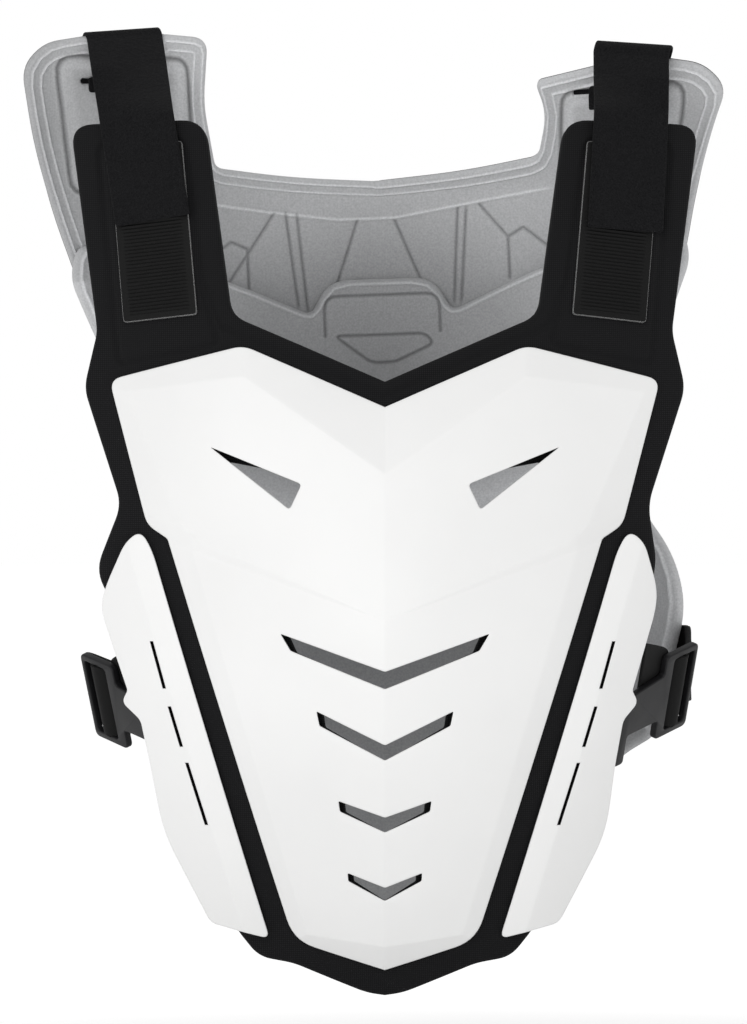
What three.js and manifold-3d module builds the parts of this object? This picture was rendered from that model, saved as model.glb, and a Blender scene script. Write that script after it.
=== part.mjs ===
// A pull-on chest and back protector: two moulded foam panels joined by shoulder straps and waist buckles,
// with white plastic shells over the chest and flanks.
// Millimetres, +Z up. The front faces -Y and +X is on the right in a front view. The origin lies between the
// shoulder straps, at the height where they cross the shoulders.
import * as THREE from "three";
import { mergeVertices } from "three/addons/utils/BufferGeometryUtils.js";
import Module from "manifold-3d";

const wasm = await Module();
wasm.setup();

// Driving dimensions
const GAP = 0.4; // clearance between pieces that touch
const FRONT_FOAM = 8;
const YOKE_FOAM = 6;
const BACK_FOAM = 9;
const SHELL = 2.5; // wall of the plastic shells
const STRAP = { width: 45, thick: 2 };
const WAIST = { width: 42, thick: 2 };
const PATCH = { width: 41, thick: 1.4 };
const CELL = { x: 19, z: 24 }; // grid of the curved faces
const BACK_ROLL = THREE.MathUtils.degToRad(2); // the back hangs a little askew on its straps
const ROLL_HEIGHT = -190; // height that it turns about
const FAR = 400; // depth that cuts and blocks reach to
const STEEPEST = 0.88; // share of a wrap's radius where it goes straight on

// Outer face of the front panel: depth on the midline and radius of its wrap, by height.
const FRONT_FORM = [
  { z: -40, y: -40, r: 400 },
  { z: -160, y: -82, r: 350 },
  { z: -225, y: -103, r: 280 },
  { z: -325, y: -120, r: 215 },
  { z: -395, y: -117, r: 185 },
  { z: -465, y: -102, r: 175 },
  { z: -532, y: -78, r: 175 },
];

// Inner face of the back yoke, by height. Its tabs bend forward above the neckline.
const BACK_FORM = [
  { z: 20, y: 84, r: 380 },
  { z: -70, y: 90, r: 380 },
  { z: -140, y: 102, r: 330 },
  { z: -240, y: 110, r: 270 },
  { z: -330, y: 108, r: 215 },
  { z: -410, y: 103, r: 200 },
  { z: -500, y: 100, r: 200 },
];
const TAB_BEND = -84; // height where the tabs of the yoke start to bend forward
const TAB_EASE = 22; // length that the bend takes

// The halves differ a little, because the straps pull them askew.
const SIDES = [
  {
    name: "left",
    sign: -1,
    tab: { top: 7, lean: 0.4, tuck: 0, cushion: 180.5, slotDrop: 23 },
    tabCorner: { x: 94, drop: 1, ease: 8 }, // corner of the tab beside the neck, below the tab's top
    strap: { end: { x: 126.8, z: -107.3 }, skew: -3.3, lean: 0.18, top: 140.4, foldDrop: 4.2 },
    fold: { rise: 1.5, tilt: 0.068 }, // looseness of the strap's fold, and its fall towards the outer end
    tail: { length: 8, shift: 0 }, // end of the strap on the inside of the tab
    flare: { x: 157.5, z: -299 }, // corner of the front panel beside the flank
    flankTuck: 0, // how far the outer edge of the flank shell is drawn in
    wing: 156, // reach of the back panel beside the buckle
    rest: -366, // height of the waist strap on the wing
  },
  {
    name: "right",
    sign: 1,
    tab: { top: -19, lean: 0.95, tuck: 4, cushion: 176, slotDrop: 12 },
    tabCorner: { x: 91.5, drop: 6.5, ease: 4 },
    strap: { end: { x: 131.6, z: -112.5 }, skew: 1.7, lean: 0.068, top: 145, foldDrop: 1.6 },
    fold: { rise: 3.8, tilt: 0.13 },
    tail: { length: 12, shift: -3 },
    flare: { x: 148, z: -297 },
    flankTuck: 5.5,
    wing: 163.5,
    rest: -358,
  },
];

// Finishes
const FABRIC = new THREE.MeshStandardMaterial({ color: 0x1b1b1d, roughness: 0.9, metalness: 0 });
const WEBBING = new THREE.MeshStandardMaterial({ color: 0x161617, roughness: 1, metalness: 0 });
const HOOK_TAPE = new THREE.MeshStandardMaterial({ color: 0x1e1e20, roughness: 0.7, metalness: 0 });
const WHITE_SHELL = new THREE.MeshStandardMaterial({ color: 0xf0f0ee, roughness: 0.4, metalness: 0 });
const DARK_PLASTIC = new THREE.MeshStandardMaterial({ color: 0x2f3032, roughness: 0.5, metalness: 0 });

// Value of a table's column at a height, on a smooth curve through its rows.
function along(table, column, z) {
  const last = table.length - 1;
  const height = THREE.MathUtils.clamp(z, table[last].z, table[0].z);
  const k = Math.min(table.findIndex((row) => row.z <= height), last) || 1;
  const slope = (i) => {
    const above = table[Math.max(i - 1, 0)];
    const below = table[Math.min(i + 1, last)];
    return (above[column] - below[column]) / (above.z - below.z);
  };
  const span = table[k].z - table[k - 1].z;
  const s = (height - table[k - 1].z) / span;
  return (
    (2 * s ** 3 - 3 * s ** 2 + 1) * table[k - 1][column] +
    (s ** 3 - 2 * s ** 2 + s) * span * slope(k - 1) +
    (3 * s ** 2 - 2 * s ** 3) * table[k][column] +
    (s ** 3 - s ** 2) * span * slope(k)
  );
}

// Depth that a face wrapped with radius r falls back by, going straight on past its steepest part.
function wrap(x, r) {
  const out = Math.min(Math.abs(x), STEEPEST * r);
  const slope = out / Math.sqrt(r * r - out * out);
  return r - Math.sqrt(r * r - out * out) + slope * (Math.abs(x) - out);
}

const frontFace = (x, z) => along(FRONT_FORM, "y", z) + wrap(x, along(FRONT_FORM, "r", z));

function backFace(x, z) {
  const rise = Math.max(z - TAB_BEND, 0);
  const { lean } = SIDES[x < 0 ? 0 : 1].tab;
  const bend = (lean * rise * rise) / (rise + TAB_EASE);
  return along(BACK_FORM, "y", z) - wrap(x, along(BACK_FORM, "r", z)) - bend;
}

// A face moved along its own normal, as a depth: positive goes towards +Y.
function offset(face, distance) {
  const h = 1;
  return (x, z) => {
    const dx = (face(x + h, z) - face(x - h, z)) / (2 * h);
    const dz = (face(x, z + h) - face(x, z - h)) / (2 * h);
    return face(x, z) + distance * Math.hypot(1, dx, dz);
  };
}

// A point at a distance from a face along its normal, positive towards +Y.
function pointOn(face, x, z, distance) {
  const h = 1;
  const dx = (face(x + h, z) - face(x - h, z)) / (2 * h);
  const dz = (face(x, z + h) - face(x, z - h)) / (2 * h);
  const normal = new THREE.Vector3(-dx, 1, -dz).normalize();
  return new THREE.Vector3(x, face(x, z), z).addScaledVector(normal, distance);
}

// Solids from geometries and back.
function solidOf(geometry) {
  const bare = geometry.clone();
  bare.deleteAttribute("normal");
  bare.deleteAttribute("uv");
  const merged = mergeVertices(bare, 1e-4);
  return new wasm.Manifold(
    new wasm.Mesh({
      numProp: 3,
      vertProperties: new Float32Array(merged.attributes.position.array),
      triVerts: new Uint32Array(merged.index.array),
    }),
  );
}

function geometryOf(solid) {
  const { vertProperties, triVerts } = solid.getMesh();
  const geometry = new THREE.BufferGeometry();
  geometry.setAttribute("position", new THREE.BufferAttribute(vertProperties, 3));
  geometry.setIndex(new THREE.BufferAttribute(triVerts, 1));
  geometry.computeVertexNormals();
  return geometry;
}

function piece(name, geometry, material) {
  const mesh = new THREE.Mesh(geometry, material);
  mesh.name = name;
  return mesh;
}

// A closed block between two depths, on whole cells of the grid. near lies on the -Y side of far.
function block(near, far, reach) {
  const half = Math.ceil(reach.x / CELL.x);
  const top = Math.ceil(reach.top / CELL.z);
  const bottom = Math.floor(reach.bottom / CELL.z);
  const columns = 2 * half + 1;
  const rows = top - bottom + 1;
  const points = [];
  for (const depth of [near, far])
    for (let j = 0; j < rows; j++)
      for (let i = 0; i < columns; i++) {
        const x = (i - half) * CELL.x;
        const z = (bottom + j) * CELL.z;
        points.push(x, depth(x, z), z);
      }
  const at = (i, j, layer) => layer * rows * columns + j * columns + i;
  const faces = [];
  const quad = (a, b, c, d) => faces.push(a, b, c, a, c, d);
  for (let j = 0; j + 1 < rows; j++) {
    for (let i = 0; i + 1 < columns; i++) {
      const turn = i < half; // diagonals mirror each other across the midline
      const cell = [[i, j], [i + 1, j], [i + 1, j + 1], [i, j + 1]];
      const order = turn ? [1, 2, 3, 0] : [0, 1, 2, 3];
      quad(...order.map((k) => at(...cell[k], 0)));
      quad(...[order[2], order[1], order[0], order[3]].map((k) => at(...cell[k], 1)));
    }
    quad(at(0, j, 0), at(0, j + 1, 0), at(0, j + 1, 1), at(0, j, 1));
    quad(at(columns - 1, j, 0), at(columns - 1, j, 1), at(columns - 1, j + 1, 1), at(columns - 1, j + 1, 0));
  }
  for (let i = 0; i + 1 < columns; i++) {
    quad(at(i, 0, 0), at(i, 0, 1), at(i + 1, 0, 1), at(i + 1, 0, 0));
    quad(at(i, rows - 1, 0), at(i + 1, rows - 1, 0), at(i + 1, rows - 1, 1), at(i, rows - 1, 1));
  }
  const geometry = new THREE.BufferGeometry();
  geometry.setAttribute("position", new THREE.Float32BufferAttribute(points, 3));
  geometry.setIndex(faces);
  return solidOf(geometry);
}

// An outline in the front view, whose corners are eased over a distance, cut through from front to back.
function prism(corners) {
  const shape = new THREE.Shape();
  corners.forEach((corner, k) => {
    const here = new THREE.Vector2(corner.x, corner.z);
    const before = corners.at(k - 1);
    const after = corners[(k + 1) % corners.length];
    const towards = (other) => {
      const way = new THREE.Vector2(other.x, other.z).sub(here);
      const ease = Math.min(corner.ease ?? 0, 0.5 * way.length());
      return here.clone().addScaledVector(way.normalize(), ease);
    };
    const enter = towards(before);
    const leave = towards(after);
    if (k === 0) shape.moveTo(enter.x, enter.y);
    else shape.lineTo(enter.x, enter.y);
    if (corner.ease) shape.quadraticCurveTo(here.x, here.y, leave.x, leave.y);
  });
  const through = { depth: 2 * FAR, bevelEnabled: false, curveSegments: 3 };
  const geometry = new THREE.ExtrudeGeometry(shape, through);
  return solidOf(geometry.rotateX(Math.PI / 2).translate(0, FAR, 0));
}

const mirrored = (corners) => corners.map((corner) => ({ ...corner, x: -corner.x })).reverse();

// A whole outline from its right half, listed from the top of the midline to its foot.
const bothHalves = (right) => [...right, ...mirrored(right).filter((corner) => corner.x < 0)];

// A whole outline from halves that differ.
function unlikeHalves(half) {
  const [left, right] = SIDES;
  return [...half(right), ...mirrored(half(left)).filter((corner) => corner.x < 0)];
}

// An upright rectangle.
const box = (left, right, foot, top, ease) => [
  { x: left, z: top, ease },
  { x: right, z: top, ease },
  { x: right, z: foot, ease },
  { x: left, z: foot, ease },
];

const sided = (corners, sign) => (sign > 0 ? corners : mirrored(corners));

// A flat band through stations, each with a place and the direction of its width. A skewed station is cut
// aslant. A sheared band keeps the directions as given, and any other turns them square to its run. Both faces
// are split along the same diagonal, so that a twist keeps its thickness.
function band(stations, width, thick, sheared = false) {
  const points = [];
  const faces = [];
  stations.forEach((station, k) => {
    const before = stations[Math.max(k - 1, 0)].place;
    const after = stations[Math.min(k + 1, stations.length - 1)].place;
    const run = after.clone().sub(before).normalize();
    const across = station.across.clone().normalize();
    const [fixed, turned] = sheared ? [across, run] : [run, across];
    turned.addScaledVector(fixed, -turned.dot(fixed)).normalize();
    const normal = new THREE.Vector3().crossVectors(across, run);
    const corners = [[-1, -1], [1, -1], [1, 1], [-1, 1]];
    for (const [side, face] of corners)
      points.push(
        ...station.place
          .clone()
          .addScaledVector(across, (side * width) / 2)
          .addScaledVector(run, side * (station.skew ?? 0))
          .addScaledVector(normal, (face * thick) / 2)
          .toArray(),
      );
    const base = 4 * k;
    if (k > 0)
      for (let i = 0; i < 4; i++) {
        const j = (i + 1) % 4;
        const [a, b, c, d] = [base - 4 + i, base + i, base + j, base - 4 + j];
        faces.push(...(i < 2 ? [a, b, d, b, c, d] : [a, c, d, a, b, c]));
      }
  });
  const end = 4 * (stations.length - 1);
  faces.push(0, 1, 2, 0, 2, 3, end, end + 2, end + 1, end, end + 3, end + 2);
  const geometry = new THREE.BufferGeometry();
  geometry.setAttribute("position", new THREE.Float32BufferAttribute(points, 3));
  geometry.setIndex(faces);
  return solidOf(geometry);
}

// Vents, cut through shell and foam: two triangles under the collar and four chevrons down the belly.
const CHEVRONS = [
  { outX: 55.9, outTop: -332.3, lowX: 50.5, outLow: -341.3, midTop: -352.3, midLow: -361.5 },
  { outX: 36.6, outTop: -373.7, lowX: 35.0, outLow: -381.4, midTop: -391.7, midLow: -399.8 },
  { outX: 24.9, outTop: -422.0, lowX: 24.1, outLow: -427.6, midTop: -430.8, midLow: -438.8 },
  { outX: 20.0, outTop: -461.3, lowX: 19.7, outLow: -465.6, midTop: -469.2, midLow: -476.4 },
];
const VENT_TRIANGLE = [
  { x: 44.8, z: -252.1, ease: 2 },
  { x: 94.2, z: -232.0 },
  { x: 51.2, z: -265.7, ease: 2 },
];

function vents() {
  const chevrons = CHEVRONS.map((row) =>
    prism(
      bothHalves([
        { x: 0, z: row.midTop },
        { x: row.outX, z: row.outTop },
        { x: row.lowX, z: row.outLow },
        { x: 0, z: row.midLow },
      ]),
    ),
  );
  return [...chevrons, ...SIDES.map(({ sign }) => prism(sided(VENT_TRIANGLE, sign)))];
}

const ventCuts = vents();
const vented = (solid) => ventCuts.reduce((made, cut) => made.subtract(cut), solid);

// Front panel
const frontHalf = ({ flare }) => [
  { x: 0, z: -197 },
  { x: 83.5, z: -160, ease: 9 },
  { x: 99.5, z: -50, ease: 13 },
  { x: 175, z: -51, ease: 13 },
  { x: 157.5, z: -168, ease: 5 },
  { x: 164.5, z: -199, ease: 7 },
  { x: 143, z: -263, ease: 8 },
  { ...flare, ease: 10 },
  { x: 121, z: -368, ease: 10 },
  { x: 112, z: -425, ease: 10 },
  { x: 80, z: -494, ease: 6 },
  { x: 68, z: -509, ease: 7 },
  { x: 49, z: -512, ease: 5 },
  { x: 10, z: -528, ease: 6 },
  { x: 0, z: -529.5 },
];

const PAD_REACH = { x: 176, top: -45, bottom: -531 };

// Line pressed into each tab, around the panel that carries the hook tape.
const TAB_PANEL = [
  { x: 111, z: -61, ease: 8 },
  { x: 158, z: -62, ease: 8 },
  { x: 144, z: -187, ease: 6 },
  { x: 89.5, z: -176.5, ease: 4 },
  { x: 98.5, z: -146, ease: 8 },
];
const PRESSED = { width: 3.5, depth: 2 };
const TAB_REACH = { ...PAD_REACH, bottom: -196 };

// An outline drawn in towards its own middle.
function shrunk(corners, distance) {
  const middle = { x: 0, z: 0 };
  for (const corner of corners) {
    middle.x += corner.x / corners.length;
    middle.z += corner.z / corners.length;
  }
  return corners.map((corner) => ({
    ...corner,
    x: corner.x - distance * Math.sign(corner.x - middle.x),
    z: corner.z - distance * Math.sign(corner.z - middle.z),
  }));
}

function frontPad() {
  const outline = prism(unlikeHalves(frontHalf));
  const foam = block(frontFace, offset(frontFace, FRONT_FOAM), PAD_REACH).intersect(outline);
  const skin = block((x, z) => frontFace(x, z) - FRONT_FOAM, offset(frontFace, PRESSED.depth), TAB_REACH);
  const lines = SIDES.map(({ sign }) =>
    prism(sided(TAB_PANEL, sign)).subtract(prism(sided(shrunk(TAB_PANEL, PRESSED.width), sign))),
  );
  return vented(lines.reduce((made, line) => made.subtract(skin.intersect(line)), foam));
}

// Shells. A lift is how far a shell's outer face stands proud of the foam, towards -Y.
const EDGE_LIFT = GAP + SHELL;
const STEP = { z: -325, lift: 15, rise: 0.36, ramp: 0.42 }; // crease under the chest, at the midline
const CHEST_FACET = { across: -0.035, up: -0.04 }; // change of lift for each millimetre out and up
const BELLY_FACET = { across: -0.09, up: 0.032 };
const CHEST_OUTLINE = {
  neck: { x: 0, z: -210.4 },
  peak: { x: 77, z: -176.5, ease: 6 },
  shoulder: { x: 151, z: -194.5, ease: 7 },
  flank: { x: 129.5, z: -274, ease: 5 },
  notch: { x: 118, z: -281.5, ease: 1.5 },
  hip: { x: 49.5, z: -499.5, ease: 12 },
  foot: { x: 0, z: -515.6 },
};
const CHEST_BEVELS = [
  { from: "neck", to: "peak", slope: 0.27 },
  { from: "peak", to: "shoulder", slope: 0.25 },
  { from: "shoulder", to: "flank", slope: 0.33 },
];
const BELLY_BEVELS = [
  { from: "notch", to: "hip", slope: 0.35 },
  { from: "hip", to: "foot", slope: 0.5 },
];
const SHELL_REACH = { x: 160, top: -170, bottom: -520 };

// Lift that climbs from an edge of an outline towards its inside, on both halves.
function bevelLift(from, to, slope) {
  const length = Math.hypot(to.x - from.x, to.z - from.z);
  const inward = { x: (to.z - from.z) / length, z: (from.x - to.x) / length };
  return (x, z) => EDGE_LIFT + slope * ((Math.abs(x) - from.x) * inward.x + (z - from.z) * inward.z);
}

const facetLift = ({ across, up }) => (x, z) => STEP.lift + across * Math.abs(x) + up * (z - STEP.z);

// Everything behind a face that stands proud of the foam.
const behind = (lift, drop) => block((x, z) => frontFace(x, z) - lift(x, z) + drop, () => FAR, SHELL_REACH);

// Part of a shell under all of its bevels.
const bevelled = (face, bevels, drop) =>
  bevels
    .map(({ from, to, slope }) => bevelLift(CHEST_OUTLINE[from], CHEST_OUTLINE[to], slope))
    .reduce((made, lift) => made.intersect(behind(lift, drop)), face);

const belowStep = prism(
  bothHalves([
    { x: 0, z: STEP.z },
    { x: FAR, z: STEP.z + STEP.rise * FAR },
    { x: FAR, z: -2 * FAR },
    { x: 0, z: -2 * FAR },
  ]),
);

function chestForm(drop) {
  const chest = facetLift(CHEST_FACET);
  const belly = facetLift(BELLY_FACET);
  const ramp = (x, z) => belly(x, z) + STEP.ramp * (z - STEP.z - STEP.rise * Math.abs(x));
  const upper = bevelled(behind(chest, drop).intersect(behind(ramp, drop)), CHEST_BEVELS, drop);
  const lower = bevelled(behind(belly, drop), BELLY_BEVELS, drop);
  return upper.add(lower.intersect(belowStep));
}

function chestPlate() {
  const outline = prism(bothHalves(Object.values(CHEST_OUTLINE)));
  return vented(chestForm(0).subtract(chestForm(SHELL)).intersect(outline));
}

// Flank shells
const FLANK_LIFT = 8;
const FLANK_BEVEL = 0.4;
const FLANK_INNER = { top: { x: 126.5, z: -287.5 }, foot: { x: 63, z: -496 } };
const FLANK_OUTLINE = [ // give is the share of the tuck that a corner takes
  { x: 133, z: -277, ease: 6 },
  { x: 141.5, z: -283.5, ease: 6 },
  { x: 152.8, z: -308, ease: 8, give: 0.75 },
  { x: 155.8, z: -320, ease: 8, give: 1.4 },
  { x: 140.5, z: -364.5, ease: 1.5, give: 1 },
  { x: 144, z: -371, ease: 4, give: 1 },
  { x: 133.3, z: -380.5, ease: 3, give: 0.6 },
  { x: 128.3, z: -404, ease: 4, give: 0.45 },
  { x: 121, z: -442, ease: 14 },
  { x: 95, z: -491, ease: 4 },
  { x: 62.5, z: -499, ease: 5 },
  { ...FLANK_INNER.top, ease: 8 },
];
const FLANK_SLOTS = [
  { topX: 126.7, topZ: -337.2, footX: 119.6, footZ: -362.8 },
  { topX: 116.9, topZ: -372.5, footX: 110.3, footZ: -394.3 },
  { topX: 107.4, topZ: -403.0, footX: 96.7, footZ: -436.7 },
];
const SLOT_WIDTH = 1.8;
const SLOT_GIVE = 0.45;

const tucked = (corners, tuck) =>
  corners.map(({ give = 0, ...corner }) => ({ ...corner, x: corner.x - give * tuck }));

function slotOutline({ topX, topZ, footX, footZ }) {
  const half = SLOT_WIDTH / 2;
  return [
    { x: topX - half, z: topZ, give: SLOT_GIVE },
    { x: topX + half, z: topZ, give: SLOT_GIVE },
    { x: footX + half, z: footZ, give: SLOT_GIVE },
    { x: footX - half, z: footZ, give: SLOT_GIVE },
  ];
}

function flankForm(drop) {
  const inner = bevelLift(FLANK_INNER.foot, FLANK_INNER.top, FLANK_BEVEL);
  return behind(inner, drop).intersect(behind(() => FLANK_LIFT, drop));
}

function sidePlate({ sign, flankTuck }) {
  const cut = (corners) => prism(sided(tucked(corners, flankTuck), sign));
  const shell = flankForm(0).subtract(flankForm(SHELL)).intersect(cut(FLANK_OUTLINE));
  return FLANK_SLOTS.reduce((made, slot) => made.subtract(cut(slotOutline(slot))), shell);
}

// Hook patches on the front tabs, leaning outwards at the top as the tabs do.
const PATCH_FOOT = { x: 122.5, z: -161.5 };
const PATCH_LENGTH = 98;
const PATCH_LEAN = THREE.MathUtils.degToRad(5.6);

function hookPatch(sign) {
  const up = { x: Math.sin(PATCH_LEAN), z: Math.cos(PATCH_LEAN) };
  const half = PATCH.width / 2;
  const corner = (side, length) => ({
    x: PATCH_FOOT.x + side * half * up.z + length * up.x,
    z: PATCH_FOOT.z - side * half * up.x + length * up.z,
    ease: 2,
  });
  const outline = [corner(-1, PATCH_LENGTH), corner(1, PATCH_LENGTH), corner(1, 0), corner(-1, 0)];
  const tape = block(offset(frontFace, -GAP - PATCH.thick), offset(frontFace, -GAP), TAB_REACH);
  return tape.intersect(prism(sided(outline, sign)));
}

// Back panels, built straight and then rolled as one group.
const NECK_CORNER = { x: 93, z: -65.8, ease: 5 };
const YOKE_FOOT = -206;
const YOKE_REACH = { x: 199, top: 9, bottom: YOKE_FOOT - 1 };

const EDGE_DIP = { above: 1, spare: 2, slope: 3 }; // hollow that the strap presses into the tab's top edge

function yokeHalf({ tab, tabCorner, strap }) {
  const dip = STRAP.width / 2 + EDGE_DIP.spare;
  const pressed = tab.top - strap.foldDrop + EDGE_DIP.above;
  return [
    { x: 0, z: -75.8 },
    { x: 50, z: -72.2, ease: 20 },
    NECK_CORNER,
    { x: 98, z: (NECK_CORNER.z + tab.top) / 2, ease: 10 },
    { x: tabCorner.x, z: tab.top - tabCorner.drop, ease: tabCorner.ease },
    { x: strap.top - dip - EDGE_DIP.slope, z: tab.top + 1.4 },
    { x: strap.top - dip, z: pressed },
    { x: strap.top + dip, z: pressed },
    { x: strap.top + dip + EDGE_DIP.slope, z: tab.top + 0.2 },
    { x: 184, z: tab.top - 3.5, ease: 8 },
    { x: 197.5, z: tab.top - 17, ease: 10 },
    { x: 193.5 - tab.tuck / 2, z: -52, ease: 16 },
    { x: 184.5 - tab.tuck, z: -92, ease: 16 },
    { x: 174, z: -125, ease: 16 },
    { x: 150, z: YOKE_FOOT, ease: 12 },
    { x: 0, z: YOKE_FOOT },
  ];
}

// Slot in each tab that takes the end of the strap.
const TAB_SLOT = { spare: 2, half: 5, ease: 1 };

function slotInTab({ sign, tab, strap }) {
  const { spare, half, ease } = TAB_SLOT;
  const middle = tab.top - tab.slotDrop;
  const reach = STRAP.width / 2 + spare;
  return prism(sided(box(strap.top - reach, strap.top + reach, middle - half, middle + half, ease), sign));
}

// Cushion raised on the inside of each tab, around the slot.
const CUSHION_RISE = 1.5;

function tabCushion({ sign, tab }) {
  const outline = [
    { x: 107, z: tab.top - 11, ease: 8 },
    { x: tab.cushion, z: tab.top - 9, ease: 12 },
    { x: tab.cushion - 5, z: -80, ease: 10 },
    { x: 106, z: -74, ease: 10 },
  ];
  const rise = block(offset(backFace, -CUSHION_RISE), offset(backFace, YOKE_FOAM / 2), YOKE_REACH);
  return rise.intersect(prism(sided(outline, sign)));
}

function backYoke() {
  const outline = prism(unlikeHalves(yokeHalf));
  const foam = block(backFace, offset(backFace, YOKE_FOAM), YOKE_REACH).intersect(outline);
  return SIDES.reduce((made, side) => made.add(tabCushion(side)).subtract(slotInTab(side)), foam);
}

const backHalf = ({ wing }) => [
  { x: 0, z: -132 },
  { x: 30, z: -132, ease: 12 },
  { x: 41, z: -151.5, ease: 5 },
  { x: 92, z: -129, ease: 20 },
  { x: 171, z: -108, ease: 8 },
  { x: 176, z: -128, ease: 9 },
  { x: 163, z: -162, ease: 14 },
  { x: 140, z: -215, ease: 30 },
  { x: 139, z: -262, ease: 20 },
  { x: wing - 4, z: -296, ease: 14 },
  { x: wing + 1, z: -325, ease: 14 },
  { x: wing - 18.5, z: -399, ease: 6 },
  { x: wing - 34.5, z: -409, ease: 6 },
  { x: 113, z: -424, ease: 14 },
  { x: 94, z: -496, ease: 16 },
  { x: 0, z: -507 },
];

const BACK_REACH = { x: 178, top: -106, bottom: -508 };

function backPad() {
  const foam = block(offset(backFace, -GAP - BACK_FOAM), offset(backFace, -GAP), BACK_REACH);
  return foam.intersect(prism(unlikeHalves(backHalf)));
}

// A turn of a share of the back's roll, about the height where it hangs straight.
function rolled(share) {
  const group = new THREE.Group();
  group.position.z = ROLL_HEIGHT;
  group.rotation.y = -share * BACK_ROLL;
  const inside = new THREE.Group();
  inside.position.z = -ROLL_HEIGHT;
  group.add(inside);
  group.updateMatrixWorld(true);
  return { group, inside, matrix: inside.matrixWorld };
}

const back = rolled(1);
const onBack = (x, z, distance) => pointOn(backFace, x, z, distance).applyMatrix4(back.matrix);

// A point of the back at its own height, behind or in front of the face.
const levelWithBack = (x, z, distance) =>
  new THREE.Vector3(x, offset(backFace, distance)(x, z), z).applyMatrix4(back.matrix);

// Shoulder straps: up the front tab, over the top edge of the back tab, down behind it and in by the slot.
const STRAP_LEAD = 8; // length that lies on the outside of the tab above the slot
const STRAP_SHIFT = 1.5; // drop of the strap as it passes the slot
const STRAP_ROWS = 5; // stations on the front tab
const FREE_STATIONS = [ // places between the front tab and the fold over the back tab, where the strap twists
  { share: 0.3, twist: 0.5 },
  { share: 0.6, twist: 0.95 },
  { share: 0.85, twist: 1 },
];
const FOLD_DEGREES = [40, 75, 110, 145, 180]; // places round that fold
const EDGE_RUN = 10; // length of the back tab, below its edge, that the fold stands on
const FRONT_TAB_TOP = -46;

function shoulderStrap({ sign, tab, strap, fold, tail }) {
  const stations = [];
  const { end } = strap;
  const topX = sign * strap.top;
  const axisZ = tab.top - strap.foldDrop + fold.rise;
  const frontSine = end.x / along(FRONT_FORM, "r", end.z);
  const backSine = topX / along(BACK_FORM, "r", axisZ);
  const frontAcross = new THREE.Vector3(Math.sqrt(1 - frontSine ** 2), sign * frontSine, 0);
  const backAcross = new THREE.Vector3(Math.sqrt(1 - backSine ** 2), -backSine, 0);
  backAcross.transformDirection(back.matrix);
  const foldAcross = backAcross.clone().setZ(backAcross.z - sign * fold.tilt).normalize();
  const lie = -2 * GAP - PATCH.thick - STRAP.thick / 2;
  for (let k = 0; k < STRAP_ROWS; k++) {
    const z = THREE.MathUtils.lerp(end.z, FRONT_TAB_TOP, k / (STRAP_ROWS - 1));
    const x = sign * (end.x + strap.lean * (z - end.z));
    const skew = k === 0 ? strap.skew : 0;
    stations.push({ place: pointOn(frontFace, x, z, lie), across: frontAcross, skew });
  }
  const axis = onBack(topX, axisZ, YOKE_FOAM / 2);
  const below = onBack(topX, axisZ - EDGE_RUN, YOKE_FOAM / 2);
  const up = axis.clone().sub(below).normalize();
  const inward = new THREE.Vector3().crossVectors(backAcross, up).normalize();
  const turn = (YOKE_FOAM / 2) * Math.hypot(1, tab.lean) + 1.5 * GAP + STRAP.thick / 2;
  const start = stations.at(-1).place.clone();
  const overEdge = FOLD_DEGREES.map((degrees) => {
    const angle = THREE.MathUtils.degToRad(degrees);
    return axis
      .clone()
      .addScaledVector(inward, turn * Math.cos(angle))
      .addScaledVector(up, turn * Math.sin(angle));
  });
  for (const { share, twist } of FREE_STATIONS)
    stations.push({
      place: start.clone().lerp(overEdge[0], share),
      across: frontAcross.clone().lerp(foldAcross, twist),
    });
  for (const place of overEdge) stations.push({ place, across: foldAcross });
  const slot = tab.top - tab.slotDrop;
  const outside = YOKE_FOAM + GAP + STRAP.thick;
  const inside = -CUSHION_RISE - 4 * GAP - STRAP.thick;
  const through = [
    [0, slot + STRAP_LEAD, outside],
    [0, slot + STRAP_SHIFT, outside],
    [0, slot, YOKE_FOAM / 2],
    [tail.shift, slot - STRAP_SHIFT, inside],
    [tail.shift, slot - tail.length, inside],
  ];
  for (const [shift, z, distance] of through)
    stations.push({ place: levelWithBack(topX + shift, z, distance), across: backAcross });
  return band(stations, STRAP.width, STRAP.thick);
}

// Buckles: a frame with a bar across its window, and a neck whose cross bar hooks behind the flank shell.
const BUCKLE = { x: 158.5, y: -28, z: -368, thick: 4 };
const BUCKLE_AXES = {
  along: new THREE.Vector3(0.63, 0.735, 0.25).normalize(), // away from the shell
  up: new THREE.Vector3(0.139, -0.424, 0.895),
};
const BUCKLE_FRAME = { front: -17, rear: 13, half: 26, window: { front: -9, rear: 10, half: 22 } };
const BUCKLE_BAR = { width: 3, thick: 2.4, setback: 0.8 };
const BUCKLE_NECK = { frameTop: 14.5, hookTop: 11, foot: -14 };
const BUCKLE_LAP = 2; // length that the buckle's parts run into each other
const BUCKLE_REACH = { x: 90, top: 40, bottom: -40 };
const BUCKLE_HOOK = { front: -53, rear: -45, top: 13, foot: -31, ease: 3 };

// A flat outline of a thickness, level with the buckle's middle.
function flat(corners, thick) {
  return block(() => -thick / 2, () => thick / 2, BUCKLE_REACH).intersect(prism(corners));
}

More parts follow.
